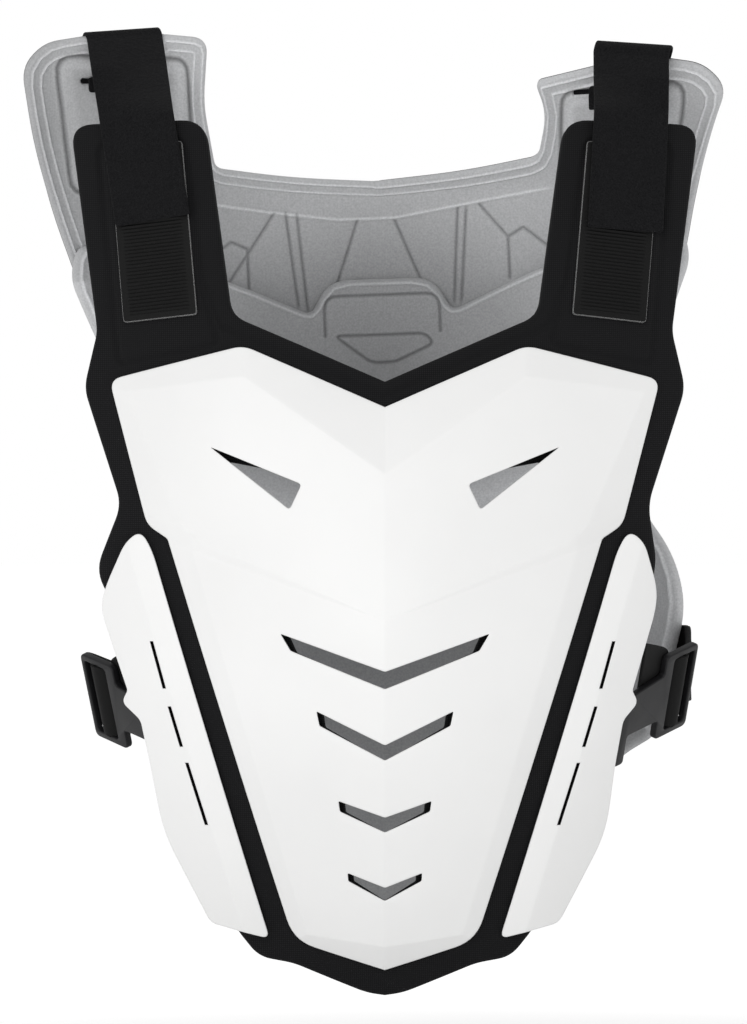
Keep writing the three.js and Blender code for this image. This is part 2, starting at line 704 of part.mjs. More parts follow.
// A buckle lying flat in the front view: its length along X, its height along Z and its face on the -Y side.
function flatBuckle() {
  const { front, rear, half, window } = BUCKLE_FRAME;
  const frame = flat(box(front, rear, -half, half, 4), BUCKLE.thick).subtract(
    prism(box(window.front, window.rear, -window.half, window.half, 2)),
  );
  const { front: tip, rear: root, foot: toe, top: heel, ease } = BUCKLE_HOOK;
  const { frameTop, hookTop, foot } = BUCKLE_NECK;
  const neck = flat(
    [
      { x: root - BUCKLE_LAP, z: hookTop },
      { x: front + BUCKLE_LAP, z: frameTop },
      { x: front + BUCKLE_LAP, z: foot },
      { x: root - BUCKLE_LAP, z: foot },
    ],
    BUCKLE.thick,
  );
  const hook = flat(box(tip, root, toe, heel, ease), BUCKLE.thick);
  const barHalf = { x: BUCKLE_BAR.width / 2, z: window.half + BUCKLE_LAP };
  const bar = flat(box(-barHalf.x, barHalf.x, -barHalf.z, barHalf.z), BUCKLE_BAR.thick);
  return frame.add(neck).add(hook).add(bar.translate([0, BUCKLE_BAR.setback, 0]));
}

function buckleFrame(sign) {
  const { along: run, up } = BUCKLE_AXES;
  const face = new THREE.Vector3().crossVectors(run, up).normalize();
  const upright = new THREE.Vector3().crossVectors(face, run);
  const flip = new THREE.Vector3(sign, 1, 1);
  const axes = [run, face, upright].map((axis) => axis.clone().multiply(flip));
  const middle = new THREE.Vector3(sign * BUCKLE.x, BUCKLE.y, BUCKLE.z);
  return { run: axes[0], face: axes[1], upright: axes[2], middle };
}

const midway = rolled(0.5); // the buckles hang between front and back, so they take half of the roll

function buckle(sign) {
  const { run, face, upright, middle } = buckleFrame(sign);
  const matrix = new THREE.Matrix4().makeBasis(run, face.clone().negate(), upright).setPosition(middle);
  const geometry = geometryOf(flatBuckle()).applyMatrix4(matrix.premultiply(midway.matrix));
  if (sign < 0) geometry.setIndex([...geometry.index.array].reverse());
  return geometry;
}

// Waist straps: from behind the flank shell, over the buckle's bar, round the wing and along its outside.
const WAIST_SPAN = WAIST.width / 4; // height over which the strap follows the wing's slope
const WAIST_STATIONS = [
  { run: -34, face: -3.4, rise: 16.5 },
  { run: -13, face: -3.4, rise: 7 },
  { run: -7.8, face: -3.4, rise: 0 },
  { run: -2.2, face: 1.9, rise: 0 },
  { run: 2.2, face: 1.9, rise: 0 },
  { run: 7.8, face: -3.4, rise: 0 },
  { run: 14, face: -3.8, rise: 0 },
  { run: 17, face: -6.5, rise: 0 },
];
const WING_APPROACH = [
  { out: 1, ahead: 20, turn: 0.6 },
  { out: 1.6, ahead: 10, turn: 0.9 },
  { out: 1.8, ahead: 0, turn: 1 },
];
const WING_STATIONS = [-6.5, -16.5, -31.5, -49.5]; // from the wing's edge, where the strap lies on the back

function waistStrap({ sign, wing, rest }) {
  const { run, face, upright, middle } = buckleFrame(sign);
  const upFrame = upright.clone().transformDirection(midway.matrix);
  const stations = WAIST_STATIONS.map((row) => ({
    place: middle
      .clone()
      .addScaledVector(run, row.run)
      .addScaledVector(face, row.face)
      .addScaledVector(upright, row.rise)
      .applyMatrix4(midway.matrix),
    across: upFrame,
  }));
  const onWing = (x, rise) => onBack(x, rest + rise, 0);
  const upWing = (x) => onWing(x, WAIST_SPAN).sub(onWing(x, -WAIST_SPAN)).normalize();
  const edge = onWing(sign * wing, 0);
  for (const { out, ahead, turn } of WING_APPROACH)
    stations.push({
      place: edge.clone().add(new THREE.Vector3(sign * out, -ahead, 0)),
      across: upFrame.clone().lerp(upWing(sign * wing), turn),
    });
  for (const x of WING_STATIONS.map((inwards) => wing + inwards))
    stations.push({ place: onBack(sign * x, rest, GAP + WAIST.thick / 2), across: upWing(sign * x) });
  return band(stations, WAIST.width, WAIST.thick, true);
}

// The whole protector
const bodyArmor = new THREE.Group();
bodyArmor.name = "body_armor";
bodyArmor.add(piece("front_pad", geometryOf(frontPad()), FABRIC));
bodyArmor.add(piece("chest_plate", geometryOf(chestPlate()), WHITE_SHELL));
back.inside.add(piece("back_yoke", geometryOf(backYoke()), FABRIC));
back.inside.add(piece("back_pad", geometryOf(backPad()), FABRIC));
bodyArmor.add(back.group);
for (const side of SIDES) {
  bodyArmor.add(piece(`side_plate_${side.name}`, geometryOf(sidePlate(side)), WHITE_SHELL));
  bodyArmor.add(piece(`hook_patch_${side.name}`, geometryOf(hookPatch(side.sign)), HOOK_TAPE));
  bodyArmor.add(piece(`shoulder_strap_${side.name}`, geometryOf(shoulderStrap(side)), WEBBING));
  bodyArmor.add(piece(`waist_strap_${side.name}`, geometryOf(waistStrap(side)), WEBBING));
  bodyArmor.add(piece(`buckle_${side.name}`, buckle(side.sign), DARK_PLASTIC));
}

export default bodyArmor;
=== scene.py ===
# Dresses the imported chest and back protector: moulded foam panels, white shells, webbing and buckles.
# Blanks are cut flat in millimetres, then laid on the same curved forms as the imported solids.
import math

import bmesh
import bpy
import numpy as np
from mathutils import Matrix, Vector


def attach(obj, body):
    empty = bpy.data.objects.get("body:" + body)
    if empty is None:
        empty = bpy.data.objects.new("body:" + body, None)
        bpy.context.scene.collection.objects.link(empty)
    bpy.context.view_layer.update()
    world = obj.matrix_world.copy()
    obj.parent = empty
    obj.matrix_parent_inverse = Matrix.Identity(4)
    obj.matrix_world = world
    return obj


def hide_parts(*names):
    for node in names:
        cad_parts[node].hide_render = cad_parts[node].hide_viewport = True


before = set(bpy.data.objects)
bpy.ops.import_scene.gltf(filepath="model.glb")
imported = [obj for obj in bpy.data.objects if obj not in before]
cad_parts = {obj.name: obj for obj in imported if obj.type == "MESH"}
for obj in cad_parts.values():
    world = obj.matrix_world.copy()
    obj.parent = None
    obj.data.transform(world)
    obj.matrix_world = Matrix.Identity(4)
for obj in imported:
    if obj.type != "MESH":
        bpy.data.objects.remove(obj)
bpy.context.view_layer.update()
mm = 0.001
closest = 0.05  # in millimetres: points and cuts nearer than this are taken as one
merging = {"flat": 0.01, "laid": 0.00002}  # in millimetres on a blank, in metres on a finished piece

# Camera at the photo's angle: level, a little left of the middle
camera = {"place": (-0.00615, -2.8, -0.267), "lens": 175.8, "sensor": 36.0}
bpy.ops.object.select_all(action="DESELECT")
bpy.ops.object.camera_add(location=camera["place"], rotation=(math.radians(90), 0, 0))
bpy.context.object.data.lens = camera["lens"]
bpy.context.object.data.sensor_width = camera["sensor"]
bpy.context.scene.camera = bpy.context.object
print("camera set")


# The curved forms, by height: depth on the midline and radius of the wrap
frontForm = {
    "z": [-532, -465, -395, -325, -225, -160, -40],
    "y": [-78, -102, -117, -120, -103, -82, -40],
    "r": [175, 175, 185, 215, 280, 350, 400],
}
backForm = {
    "z": [-500, -410, -330, -240, -140, -70, 20],
    "y": [100, 103, 108, 110, 102, 90, 84],
    "r": [200, 200, 215, 270, 330, 380, 380],
}
tabBend = {"z": -84, "ease": 22, "leftLean": 0.4, "rightLean": 0.95}
backRoll = {"angle": math.radians(2), "z": -190}  # the back hangs a little askew
steepest = 0.88  # share of a wrap's radius where it goes straight on
gap = 0.4
foam = {"front": 8, "yoke": 6, "back": 9}


# A smooth curve through a form's values, at each height
def along(form, column, z):
    heights = np.array(form["z"], float)
    values = np.array(form[column], float)
    slopes = np.empty_like(values)
    slopes[1:-1] = (values[2:] - values[:-2]) / (heights[2:] - heights[:-2])
    slopes[0] = (values[1] - values[0]) / (heights[1] - heights[0])
    slopes[-1] = (values[-1] - values[-2]) / (heights[-1] - heights[-2])
    z = np.clip(z, heights[0], heights[-1])
    k = np.clip(np.searchsorted(heights, z), 1, len(heights) - 1)
    span = heights[k] - heights[k - 1]
    s = (z - heights[k - 1]) / span
    start = (2 * s**3 - 3 * s**2 + 1) * values[k - 1] + (s**3 - 2 * s**2 + s) * span * slopes[k - 1]
    return start + (3 * s**2 - 2 * s**3) * values[k] + (s**3 - s**2) * span * slopes[k]


def wrap(x, r):
    out = np.minimum(np.abs(x), steepest * r)
    depth = np.sqrt(r * r - out * out)
    return r - depth + out / depth * (np.abs(x) - out)


def frontFace(x, z):
    return along(frontForm, "y", z) + wrap(x, along(frontForm, "r", z))


def backFace(x, z):
    rise = np.maximum(z - tabBend["z"], 0)
    lean = np.where(x < 0, tabBend["leftLean"], tabBend["rightLean"])
    bend = lean * rise * rise / (rise + tabBend["ease"])
    return along(backForm, "y", z) - wrap(x, along(backForm, "r", z)) - bend


# Points at a depth behind a face, along its normal. Those at the level keep their x and z
def layOn(face, x, z, depth, level=0.0):
    dx = (face(x + 1, z) - face(x - 1, z)) / 2
    dz = (face(x, z + 1) - face(x, z - 1)) / 2
    length = np.sqrt(1 + dx * dx + dz * dz)
    out = (depth - level) / length
    return np.stack([x - out * dx, face(x, z) + level * length + out, z - out * dz], axis=1)


def rollBack(points, share=1.0):
    angle = -share * backRoll["angle"]
    x, y, z = points[:, 0], points[:, 1], points[:, 2] - backRoll["z"]
    turnedX = x * math.cos(angle) + z * math.sin(angle)
    turnedZ = z * math.cos(angle) - x * math.sin(angle)
    return np.stack([turnedX, y, turnedZ + backRoll["z"]], axis=1)


# Outlines: corners are (x, z, ease), and each ease rounds its corner
def eased(corners, steps=7):
    points = []
    for k, corner in enumerate(corners):
        here = Vector(corner[:2])
        ease = corner[2] if len(corner) > 2 else 0
        if not ease:
            points.append(tuple(here))
            continue
        ends = []
        for other in (corners[k - 1], corners[(k + 1) % len(corners)]):
            way = Vector(other[:2]) - here
            ends.append(here + way.normalized() * min(ease, way.length / 2))
        for step in range(steps + 1):
            s = step / steps
            points.append(tuple(ends[0] * (1 - s) ** 2 + here * 2 * s * (1 - s) + ends[1] * s * s))
    return [here for before, here in zip(points[-1:] + points, points) if math.dist(before, here) > closest]


def flipped(corners):
    return [(-corner[0], *corner[1:]) for corner in reversed(corners)]


def bothHalves(right, left):
    return right + [corner for corner in flipped(left) if corner[0] < 0]


def sided(corners, sign):
    return corners if sign > 0 else flipped(corners)


def box(left, right, foot, top, ease):
    return [(left, top, ease), (right, top, ease), (right, foot, ease), (left, foot, ease)]


sides = {"left": -1, "right": 1}


# A flat blank with rounded rims, cut to outlines: the first is its edge and the others are holes
def cutBlank(name, outlines, thick, rim):
    curve = bpy.data.curves.new(name, "CURVE")
    curve.dimensions = "2D"
    curve.fill_mode = "BOTH"
    curve.extrude = thick / 2 - rim
    curve.bevel_depth = rim
    curve.bevel_resolution = 3
    curve.offset = -rim
    for outline in outlines:
        spline = curve.splines.new("POLY")
        spline.points.add(len(outline) - 1)
        for point, (x, z) in zip(spline.points, outline):
            point.co = (x, z, 0, 1)
        spline.use_cyclic_u = True
    blank = bpy.data.objects.new(name, curve)
    bpy.context.scene.collection.objects.link(blank)
    bpy.ops.object.select_all(action="DESELECT")
    blank.select_set(True)
    bpy.context.view_layer.objects.active = blank
    bpy.ops.object.convert(target="MESH")
    blank = bpy.context.object
    bpy.ops.object.mode_set(mode="EDIT")
    bpy.ops.mesh.select_mode(type="FACE")
    bpy.ops.mesh.select_all(action="SELECT")
    bpy.ops.mesh.remove_doubles(threshold=merging["flat"])
    bpy.ops.mesh.normals_make_consistent(inside=False)
    bpy.ops.object.mode_set(mode="OBJECT")
    return blank


# Cuts the active blank across at each x and each z, so that it can bend
def sliceAcross(xs, zs):
    bpy.ops.object.mode_set(mode="EDIT")
    for x in xs:
        bpy.ops.mesh.select_all(action="SELECT")
        bpy.ops.mesh.bisect(plane_co=(x, 0, 0), plane_no=(1, 0, 0))
    for z in zs:
        bpy.ops.mesh.select_all(action="SELECT")
        bpy.ops.mesh.bisect(plane_co=(0, z, 0), plane_no=(0, 1, 0))
    bpy.ops.object.mode_set(mode="OBJECT")


def spaced(low, high, step):
    count = max(1, round((high - low) / step))
    return [low + (high - low) * k / count for k in range(1, count)]


def sliceGrid(span, step):
    sliceAcross(spaced(*span["x"], step), spaced(*span["z"], step))


# Cuts some faces by a plane, and gives the faces that come of it
def cutFaces(work, faces, place, normal):
    parts = {*faces, *(edge for face in faces for edge in face.edges)}
    parts |= {vert for face in faces for vert in face.verts}
    cut = bmesh.ops.bisect_plane(work, geom=list(parts), plane_co=place, plane_no=normal, dist=closest)
    return [item for item in cut["geom"] if isinstance(item, bmesh.types.BMFace)]


# How far cuts reach from a line, and the slant below which a face is on the near side
relief = {"reach": 14, "edgeReach": 15, "facing": -0.5}


# Places across a line of a relief where it is cut
def acrossLine(half, middle=0.0):
    return [middle + share * half for share in (-1, -0.5, 0, 0.5, 1)]


# Cuts beside each line of a relief on the near side of the active blank, so that the relief has its own edges
def score(paths, shifts, reach=relief["reach"]):
    mesh = bpy.context.object.data
    work = bmesh.new()
    work.from_mesh(mesh)
    for path in paths:
        for start, end in zip(path, path[1:]):
            begin = Vector((*start[:2], 0))
            run = Vector((*end[:2], 0)) - begin
            length = run.length
            run.normalize()
            across = Vector((-run.y, run.x, 0))
            near = []
            for face in work.faces:
                away = face.calc_center_median() - begin
                beside = abs(away.dot(across)) < reach and -reach < away.dot(run) < length + reach
                if beside and face.normal.z < relief["facing"]:
                    near.append(face)
            for shift in shifts:
                near = cutFaces(work, near, begin + across * shift, across)
    work.to_mesh(mesh)
    work.free()


def distanceTo(paths, x, z):
    best = np.full(x.shape, np.inf)
    for path in paths:
        for start, end in zip(path, path[1:]):
            runX, runZ = end[0] - start[0], end[1] - start[1]
            share = ((x - start[0]) * runX + (z - start[1]) * runZ) / (runX**2 + runZ**2)
            share = np.clip(share, 0, 1)
            best = np.minimum(best, np.hypot(x - start[0] - share * runX, z - start[1] - share * runZ))
    return best


# 1 inside a closed path and 0 outside it, over a soft edge
def insideOf(path, x, z, soft):
    inside = np.zeros(x.shape, bool)
    for (ax, az), (bx, bz) in zip(path, path[1:]):
        if az != bz:
            crosses = (az > z) != (bz > z)
            inside ^= crosses & (x < ax + (bx - ax) * (z - az) / (bz - az))
    distance = distanceTo([path], x, z) * np.where(inside, 1, -1)
    return np.clip(0.5 + distance / (2 * soft), 0, 1)


# A rounded ridge or groove, 1 on its line and 0 from half its width
def swell(distance, half):
    return 0.5 + 0.5 * np.cos(np.pi * np.clip(distance / half, 0, 1))


# Share of a relief that is left at a depth under its face
def fading(depth, reach):
    return np.clip(1 - depth / reach, 0, 1)


# The segments of an outline that start above a height
def segmentsAbove(corners, foot):
    edge = eased(corners, steps=2)
    return [pair for pair in zip(edge, edge[1:] + edge[:1]) if pair[0][1] > foot]


# Painted light and shade of a lining at each point of a piece, kept on its mesh for the finish to read
def setPaintedShading(piece, tone):
    layer = piece.data.attributes.new("tone", "FLOAT", "POINT")
    layer.data.foreach_set("value", np.ascontiguousarray(tone, dtype=np.float32))


# Moves every point of a blank by a rule that takes x, z and depth and gives places in millimetres
def bend(blank, rule, thick):
    mesh = blank.data
    flat = np.empty(len(mesh.vertices) * 3)
    mesh.vertices.foreach_get("co", flat)
    flat = flat.reshape(-1, 3)
    placed = rule(flat[:, 0], flat[:, 1], flat[:, 2] + thick / 2)
    mesh.vertices.foreach_set("co", (placed * mm).ravel())
    mesh.update()


def finishPiece(piece, node, angle=50):
    bpy.ops.object.select_all(action="DESELECT")
    piece.select_set(True)
    bpy.context.view_layer.objects.active = piece
    bpy.ops.object.mode_set(mode="EDIT")
    bpy.ops.mesh.select_all(action="SELECT")
    bpy.ops.mesh.remove_doubles(threshold=merging["laid"])
    bpy.ops.mesh.normals_make_consistent(inside=False)
    bpy.ops.object.mode_set(mode="OBJECT")
    bpy.ops.object.shade_smooth_by_angle(angle=math.radians(angle))
    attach(piece, "root")
    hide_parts(node)
    print(piece.name, len(piece.data.polygons), "faces")


# A new material with its nodes, its links and its shader
def newFinish(name):
    finish = bpy.data.materials.new(name)
    finish.use_nodes = True
    tree = finish.node_tree
    return finish, tree.nodes, tree.links, tree.nodes["Principled BSDF"]


def setSockets(node, sockets):
    for socket, value in sockets.items():
        node.inputs[socket].default_value = value


def addNoise(nodes, links, scale, detail=4.0):
    place = nodes.new("ShaderNodeTexCoord")
    noise = nodes.new("ShaderNodeTexNoise")
    setSockets(noise, {"Scale": scale, "Detail": detail})
    links.new(place.outputs["Object"], noise.inputs["Vector"])
    return noise.outputs["Fac"]


def addRamp(nodes, links, source, low, high, start=0.3, end=0.7):
    ramp = nodes.new("ShaderNodeValToRGB")
    ramp.color_ramp.elements[0].position = start
    ramp.color_ramp.elements[1].position = end
    ramp.color_ramp.elements[0].color = (*low, 1)
    ramp.color_ramp.elements[1].color = (*high, 1)
    links.new(source, ramp.inputs["Fac"])
    return ramp.outputs["Color"]


def addBump(nodes, links, shader, height, strength, distance):
    bump = nodes.new("ShaderNodeBump")
    setSockets(bump, {"Strength": strength, "Distance": distance})
    links.new(height, bump.inputs["Height"])
    links.new(bump.outputs["Normal"], shader.inputs["Normal"])


def addMath(nodes, links, operation, one, other):
    both = nodes.new("ShaderNodeMath")
    both.operation = operation
    links.new(one, both.inputs[0])
    links.new(other, both.inputs[1])
    return both.outputs["Value"]


# A wave texture at scale 1 goes through its turn, in radians, in each unit
threadWave = {"turn": 20, "distortion": 0.6, "detail": 1.0}


# Two crossed bands, as the loops of a knit or the threads of a weave
def addKnit(nodes, links, pitch, coords="Object", axes=("X", "Z")):
    place = nodes.new("ShaderNodeTexCoord")
    heights = []
    for axis in axes:
        wave = nodes.new("ShaderNodeTexWave")
        wave.bands_direction = axis
        setSockets(wave, {"Scale": 2 * math.pi / (threadWave["turn"] * pitch)})
        setSockets(wave, {"Distortion": threadWave["distortion"], "Detail": threadWave["detail"]})
        links.new(place.outputs[coords], wave.inputs["Vector"])
        heights.append(wave.outputs["Fac"])
    return addMath(nodes, links, "MULTIPLY", *heights)


# A moulded plastic: its colour and roughness drift a little, over a fine grain
def makePlastic(name, look):
    finish, nodes, links, shader = newFinish(name)
    cloud = addNoise(nodes, links, look["cloud"])
    links.new(addRamp(nodes, links, cloud, look["low"], look["high"]), shader.inputs["Base Color"])
    smooth, rough = look["rough"]
    links.new(addRamp(nodes, links, cloud, (smooth,) * 3, (rough,) * 3), shader.inputs["Roughness"])
    setSockets(shader, look["sockets"])
    addBump(nodes, links, shader, addNoise(nodes, links, *look["grain"]), *look["bump"])
    return finish


shellLook = {
    "low": (0.79, 0.79, 0.785),
    "high": (0.83, 0.83, 0.825),
    "rough": (0.34, 0.44),
    "cloud": 9.0,
    "grain": (1400.0, 2.0),
    "bump": (0.06, 0.0002),
    "sockets": {"Specular IOR Level": 0.5},
}
knitLook = {
    "low": (0.006, 0.006, 0.0065),
    "high": (0.017, 0.017, 0.018),
    "ramp": (0.0, 0.9),
    "pitch": 0.0011,
    "bump": (0.5, 0.0003),
    "sockets": {
        "Roughness": 0.85,
        "Specular IOR Level": 0.07,
        "Sheen Weight": 0.03,
        "Sheen Roughness": 0.5,
    },
}


def makeKnitFinish():
    finish, nodes, links, shader = newFinish("black pressed knit")
    knit = addKnit(nodes, links, knitLook["pitch"])
    colour = addRamp(nodes, links, knit, knitLook["low"], knitLook["high"], *knitLook["ramp"])
    links.new(colour, shader.inputs["Base Color"])
    setSockets(shader, knitLook["sockets"])
    addBump(nodes, links, shader, knit, *knitLook["bump"])
    return finish


liningLook = {
    "low": (0.36, 0.364, 0.372),
    "high": (0.465, 0.469, 0.477),
    "fleck": (900.0, 5.0),
    "pitch": 0.0009,
    "bump": (0.25, 0.0002),
    "sockets": {"Roughness": 0.8, "Sheen Weight": 0.1},
    # Painted shade and light: tones by distance from the middle of the back, behind the vents, on the tabs
    # and at the wings' foot
    "middle": (0, -190),
    "reaches": (10, 75, 107, 160),
    "tones": (0.58, 0.8, 1.06, 1.24),
    "behindVents": {"reach": 105, "heights": (-340, -290, -260, -225), "tones": (0.62, 1.3, 1.95, 1)},
    "tabs": {"from": 150, "to": 190, "left": 0.68, "right": 0.86},
    "wingFoot": {"from": -360, "to": -385, "tone": 0.7},
}


# Painted shade and light on the lining: it is paler away from the middle of the back, with painted light and
# shade behind the vents, painted shade on the tabs, more on the left, and darker towards the foot of the
# wings
def liningPaintedShading(x, z):
    reach = np.hypot(x - liningLook["middle"][0], z - liningLook["middle"][1])
    tone = np.interp(reach, liningLook["reaches"], liningLook["tones"])
    vent, tab = liningLook["behindVents"], liningLook["tabs"]
    behind = np.interp(z, vent["heights"], vent["tones"])
    foot = liningLook["wingFoot"]
    wings = np.interp(z, (foot["to"], foot["from"]), (foot["tone"], 1))
    tone = tone * np.where(np.abs(x) < vent["reach"], behind, wings)
    least = np.where(x < 0, tab["left"], tab["right"])
    share = np.clip((np.abs(x) - tab["from"]) / (tab["to"] - tab["from"]), 0, 1)
    return tone * np.where(z > backYoke["edgeFoot"], 1 + (least - 1) * share, 1)


def makeLiningFinish():
    finish, nodes, links, shader = newFinish("pale grey lining")
    cloud = addNoise(nodes, links, *liningLook["fleck"])
    fleck = addRamp(nodes, links, cloud, liningLook["low"], liningLook["high"])
    # The fleck colour is scaled by the tone attribute, which holds painted light and shade
    tone = nodes.new("ShaderNodeAttribute")
    tone.attribute_name = "tone"
    shade = nodes.new("ShaderNodeVectorMath")
    shade.operation = "SCALE"
    links.new(fleck, shade.inputs[0])
    links.new(tone.outputs["Fac"], shade.inputs["Scale"])
    links.new(shade.outputs["Vector"], shader.inputs["Base Color"])
    setSockets(shader, liningLook["sockets"])
    addBump(nodes, links, shader, addKnit(nodes, links, liningLook["pitch"]), *liningLook["bump"])
    return finish


shellFinish = makePlastic("satin white shell", shellLook)
knitFinish = makeKnitFinish()
liningFinish = makeLiningFinish()
print("shell, knit and lining finishes made")


# Vents through shell and foam: four chevrons and two triangles
vents = {
    "chevrons": [
        {"out": (55.9, -332.3), "low": (50.5, -341.3), "mid": (-352.3, -361.5)},
        {"out": (36.6, -373.7), "low": (35.0, -381.4), "mid": (-391.7, -399.8)},
        {"out": (24.9, -422.0), "low": (24.1, -427.6), "mid": (-430.8, -438.8)},
        {"out": (20.0, -461.3), "low": (19.7, -465.6), "mid": (-469.2, -476.4)},
    ],
    "triangle": [(44.8, -252.1, 2), (94.2, -232.0, 0.8), (51.2, -265.7, 2)],
    "ease": {"middle": 1, "ends": 0.8},
}


# Outlines of the vents, grown up and down and drawn in at their outer ends
def ventOutlines(grow, ends, triangle):
    outlines = []
    for row in vents["chevrons"]:
        top, low = row["mid"]
        ease = vents["ease"]
        right = [
            (0, top + grow, ease["middle"]),
            (row["out"][0] - ends, row["out"][1] + grow, ease["ends"]),
            (row["low"][0] - ends, row["low"][1] - grow, ease["ends"]),
            (0, low - grow, ease["middle"]),
        ]
        outlines.append(eased(bothHalves(right, right), steps=3))
    return outlines + [eased(sided(triangle, sign), steps=3) for sign in sides.values()]


# Front panel: black knit outside, pale lining inside
frontPanel = {
    "rim": 2.6,
    "upper": [
        (0, -197),
        (83.5, -160, 9),
        (99.5, -50, 13),
        (175, -51, 13),
        (157.5, -168, 5),
        (164.5, -199, 7),
        (143, -263, 8),
    ],
    "flare": {"left": (157.5, -299, 10), "right": (148, -297, 10)},
    "lower": [
        (121, -368, 10),
        (112, -425, 10),
        (80, -494, 6),
        (68, -509, 7),
        (49, -512, 5),
        (10, -528, 6),
        (0, -529.5),
    ],
    "tabLine": [(111, -61, 8), (158, -62, 8), (144, -187, 6), (89.5, -176.5, 4), (98.5, -146, 8)],
    "neckLine": [(0, -205.5), (88, -166.5), (97, -146)],
    "groove": {"half": 3.2, "depth": 1.3, "fade": 4},
    "span": {"x": (-176, 176), "z": (-530, -50)},
    "slices": (14, 5.5),  # before and after the lines are scored
    "ventGrow": 1.5,
    "ventEnds": 3,
    "triangle": [(42.4, -250.8, 2), (62, -244, 2), (84.5, -239.8, 1.2), (50.4, -269.2, 2)],
    "liningFrom": 6.4,
}


def frontHalf(name):
    return frontPanel["upper"] + [frontPanel["flare"][name]] + frontPanel["lower"]


def makeFrontPanel():
    outlines = [eased(bothHalves(frontHalf("right"), frontHalf("left")))]
    outlines += ventOutlines(frontPanel["ventGrow"], frontPanel["ventEnds"], frontPanel["triangle"])
    panel = cutBlank("front_panel", outlines, foam["front"], frontPanel["rim"])
    closed = eased(frontPanel["tabLine"], steps=4)
    lines = [closed + closed[:1], frontPanel["neckLine"]]
    lines += [[(-x, z) for x, z in line] for line in lines]
    groove, (coarse, fine) = frontPanel["groove"], frontPanel["slices"]
    sliceGrid(frontPanel["span"], coarse)
    score(lines, acrossLine(groove["half"]))
    sliceGrid(frontPanel["span"], fine)
    depths = np.array([face.center.z for face in panel.data.polygons]) + foam["front"] / 2

    def rule(x, z, depth):
        press = groove["depth"] * swell(distanceTo(lines, x, z), groove["half"])
        return layOn(frontFace, x, z, depth + press * fading(depth, groove["fade"]), foam["front"] / 2)

    bend(panel, rule, foam["front"])
    setPaintedShading(panel, np.ones(len(panel.data.vertices)))
    panel.data.materials.append(knitFinish)
    panel.data.materials.append(liningFinish)
    panel.data.polygons.foreach_set("material_index", (depths > frontPanel["liningFrom"]).astype(np.int32))
    finishPiece(panel, "front_pad")


makeFrontPanel()

# Chest shell: facets over the foam that meet in soft creases
chestShell = {
    "thick": 2.5,
    "rim": 0.7,
    "edgeLift": 2.9,
    "step": {"z": -325, "lift": 15, "rise": 0.36, "ramp": 0.42},
    "chest": (-0.035, -0.04),
    "belly": (-0.09, 0.032),
    "corners": {
        "neck": (0, -210.4),
        "peak": (77, -176.5, 6),
        "shoulder": (151, -194.5, 7),
        "flank": (129.5, -274, 5),
        "notch": (118, -281.5, 1.5),
        "hip": (49.5, -499.5, 12),
        "foot": (0, -515.6),
    },
    "chestBevels": [("neck", "peak", 0.27), ("peak", "shoulder", 0.25), ("shoulder", "flank", 0.33)],
    "bellyBevels": [("notch", "hip", 0.35), ("hip", "foot", 0.5)],
    "soft": 0.16,  # height over which two facets blend
    "runOut": 0.25,  # how fast the belly's bevel fades above the step
    "creaseCuts": (-1.4, -0.6, 0, 0.6, 1.4),
    "creaseNear": 3.0,  # height within which a face counts as on a crease
    "span": {"x": (-152, 152), "z": (-516, -176)},
    "slice": 9,
    "smooth": 40,
}


# Lifts are (constant, per mm outwards, per mm up), on the right half
def facetLift(slopes):
    step = chestShell["step"]
    return (step["lift"] - slopes[1] * step["z"], slopes[0], slopes[1])


def bevelLift(start, end, slope):
    length = math.hypot(end[0] - start[0], end[1] - start[1])
    inX, inZ = (end[1] - start[1]) / length, (start[0] - end[0]) / length
    constant = chestShell["edgeLift"] - slope * (start[0] * inX + start[1] * inZ)
    return (constant, slope * inX, slope * inZ)


def liftAt(lift, x, z):
    return lift[0] + lift[1] * np.abs(x) + lift[2] * z


def softMin(a, b, soft):
    meet = np.clip(1 - np.abs(a - b) / soft, 0, 1)
    return np.minimum(a, b) - meet * meet * soft / 4


def chestLifts():
    step = chestShell["step"]
    chest, belly = facetLift(chestShell["chest"]), facetLift(chestShell["belly"])
    slope = step["ramp"]
    ramp = (belly[0] - slope * step["z"], belly[1] - slope * step["rise"], belly[2] + slope)
    corners = chestShell["corners"]
    upper = [bevelLift(corners[a], corners[b], slope) for a, b, slope in chestShell["chestBevels"]]
    lower = [bevelLift(corners[a], corners[b], slope) for a, b, slope in chestShell["bellyBevels"]]
    return {"chest": chest, "belly": belly, "ramp": ramp, "upper": upper, "lower": lower}


def chestLift(x, z):
    lifts = chestLifts()
    step, soft = chestShell["step"], chestShell["soft"]
    above = z > step["z"] + step["rise"] * np.abs(x)
    upper = softMin(liftAt(lifts["chest"], x, z), liftAt(lifts["ramp"], x, z), soft)
    for lift in lifts["upper"]:
        upper = softMin(upper, liftAt(lift, x, z), soft)
    lower = liftAt(lifts["belly"], x, z)
    for lift in lifts["lower"]:
        lower = softMin(lower, liftAt(lift, x, z), soft)
    over = np.maximum(z - step["z"] - step["rise"] * np.abs(x), 0)
    upper = softMin(upper, liftAt(lifts["lower"][0], x, z) + chestShell["runOut"] * over, soft)
    return np.where(above, upper, lower)


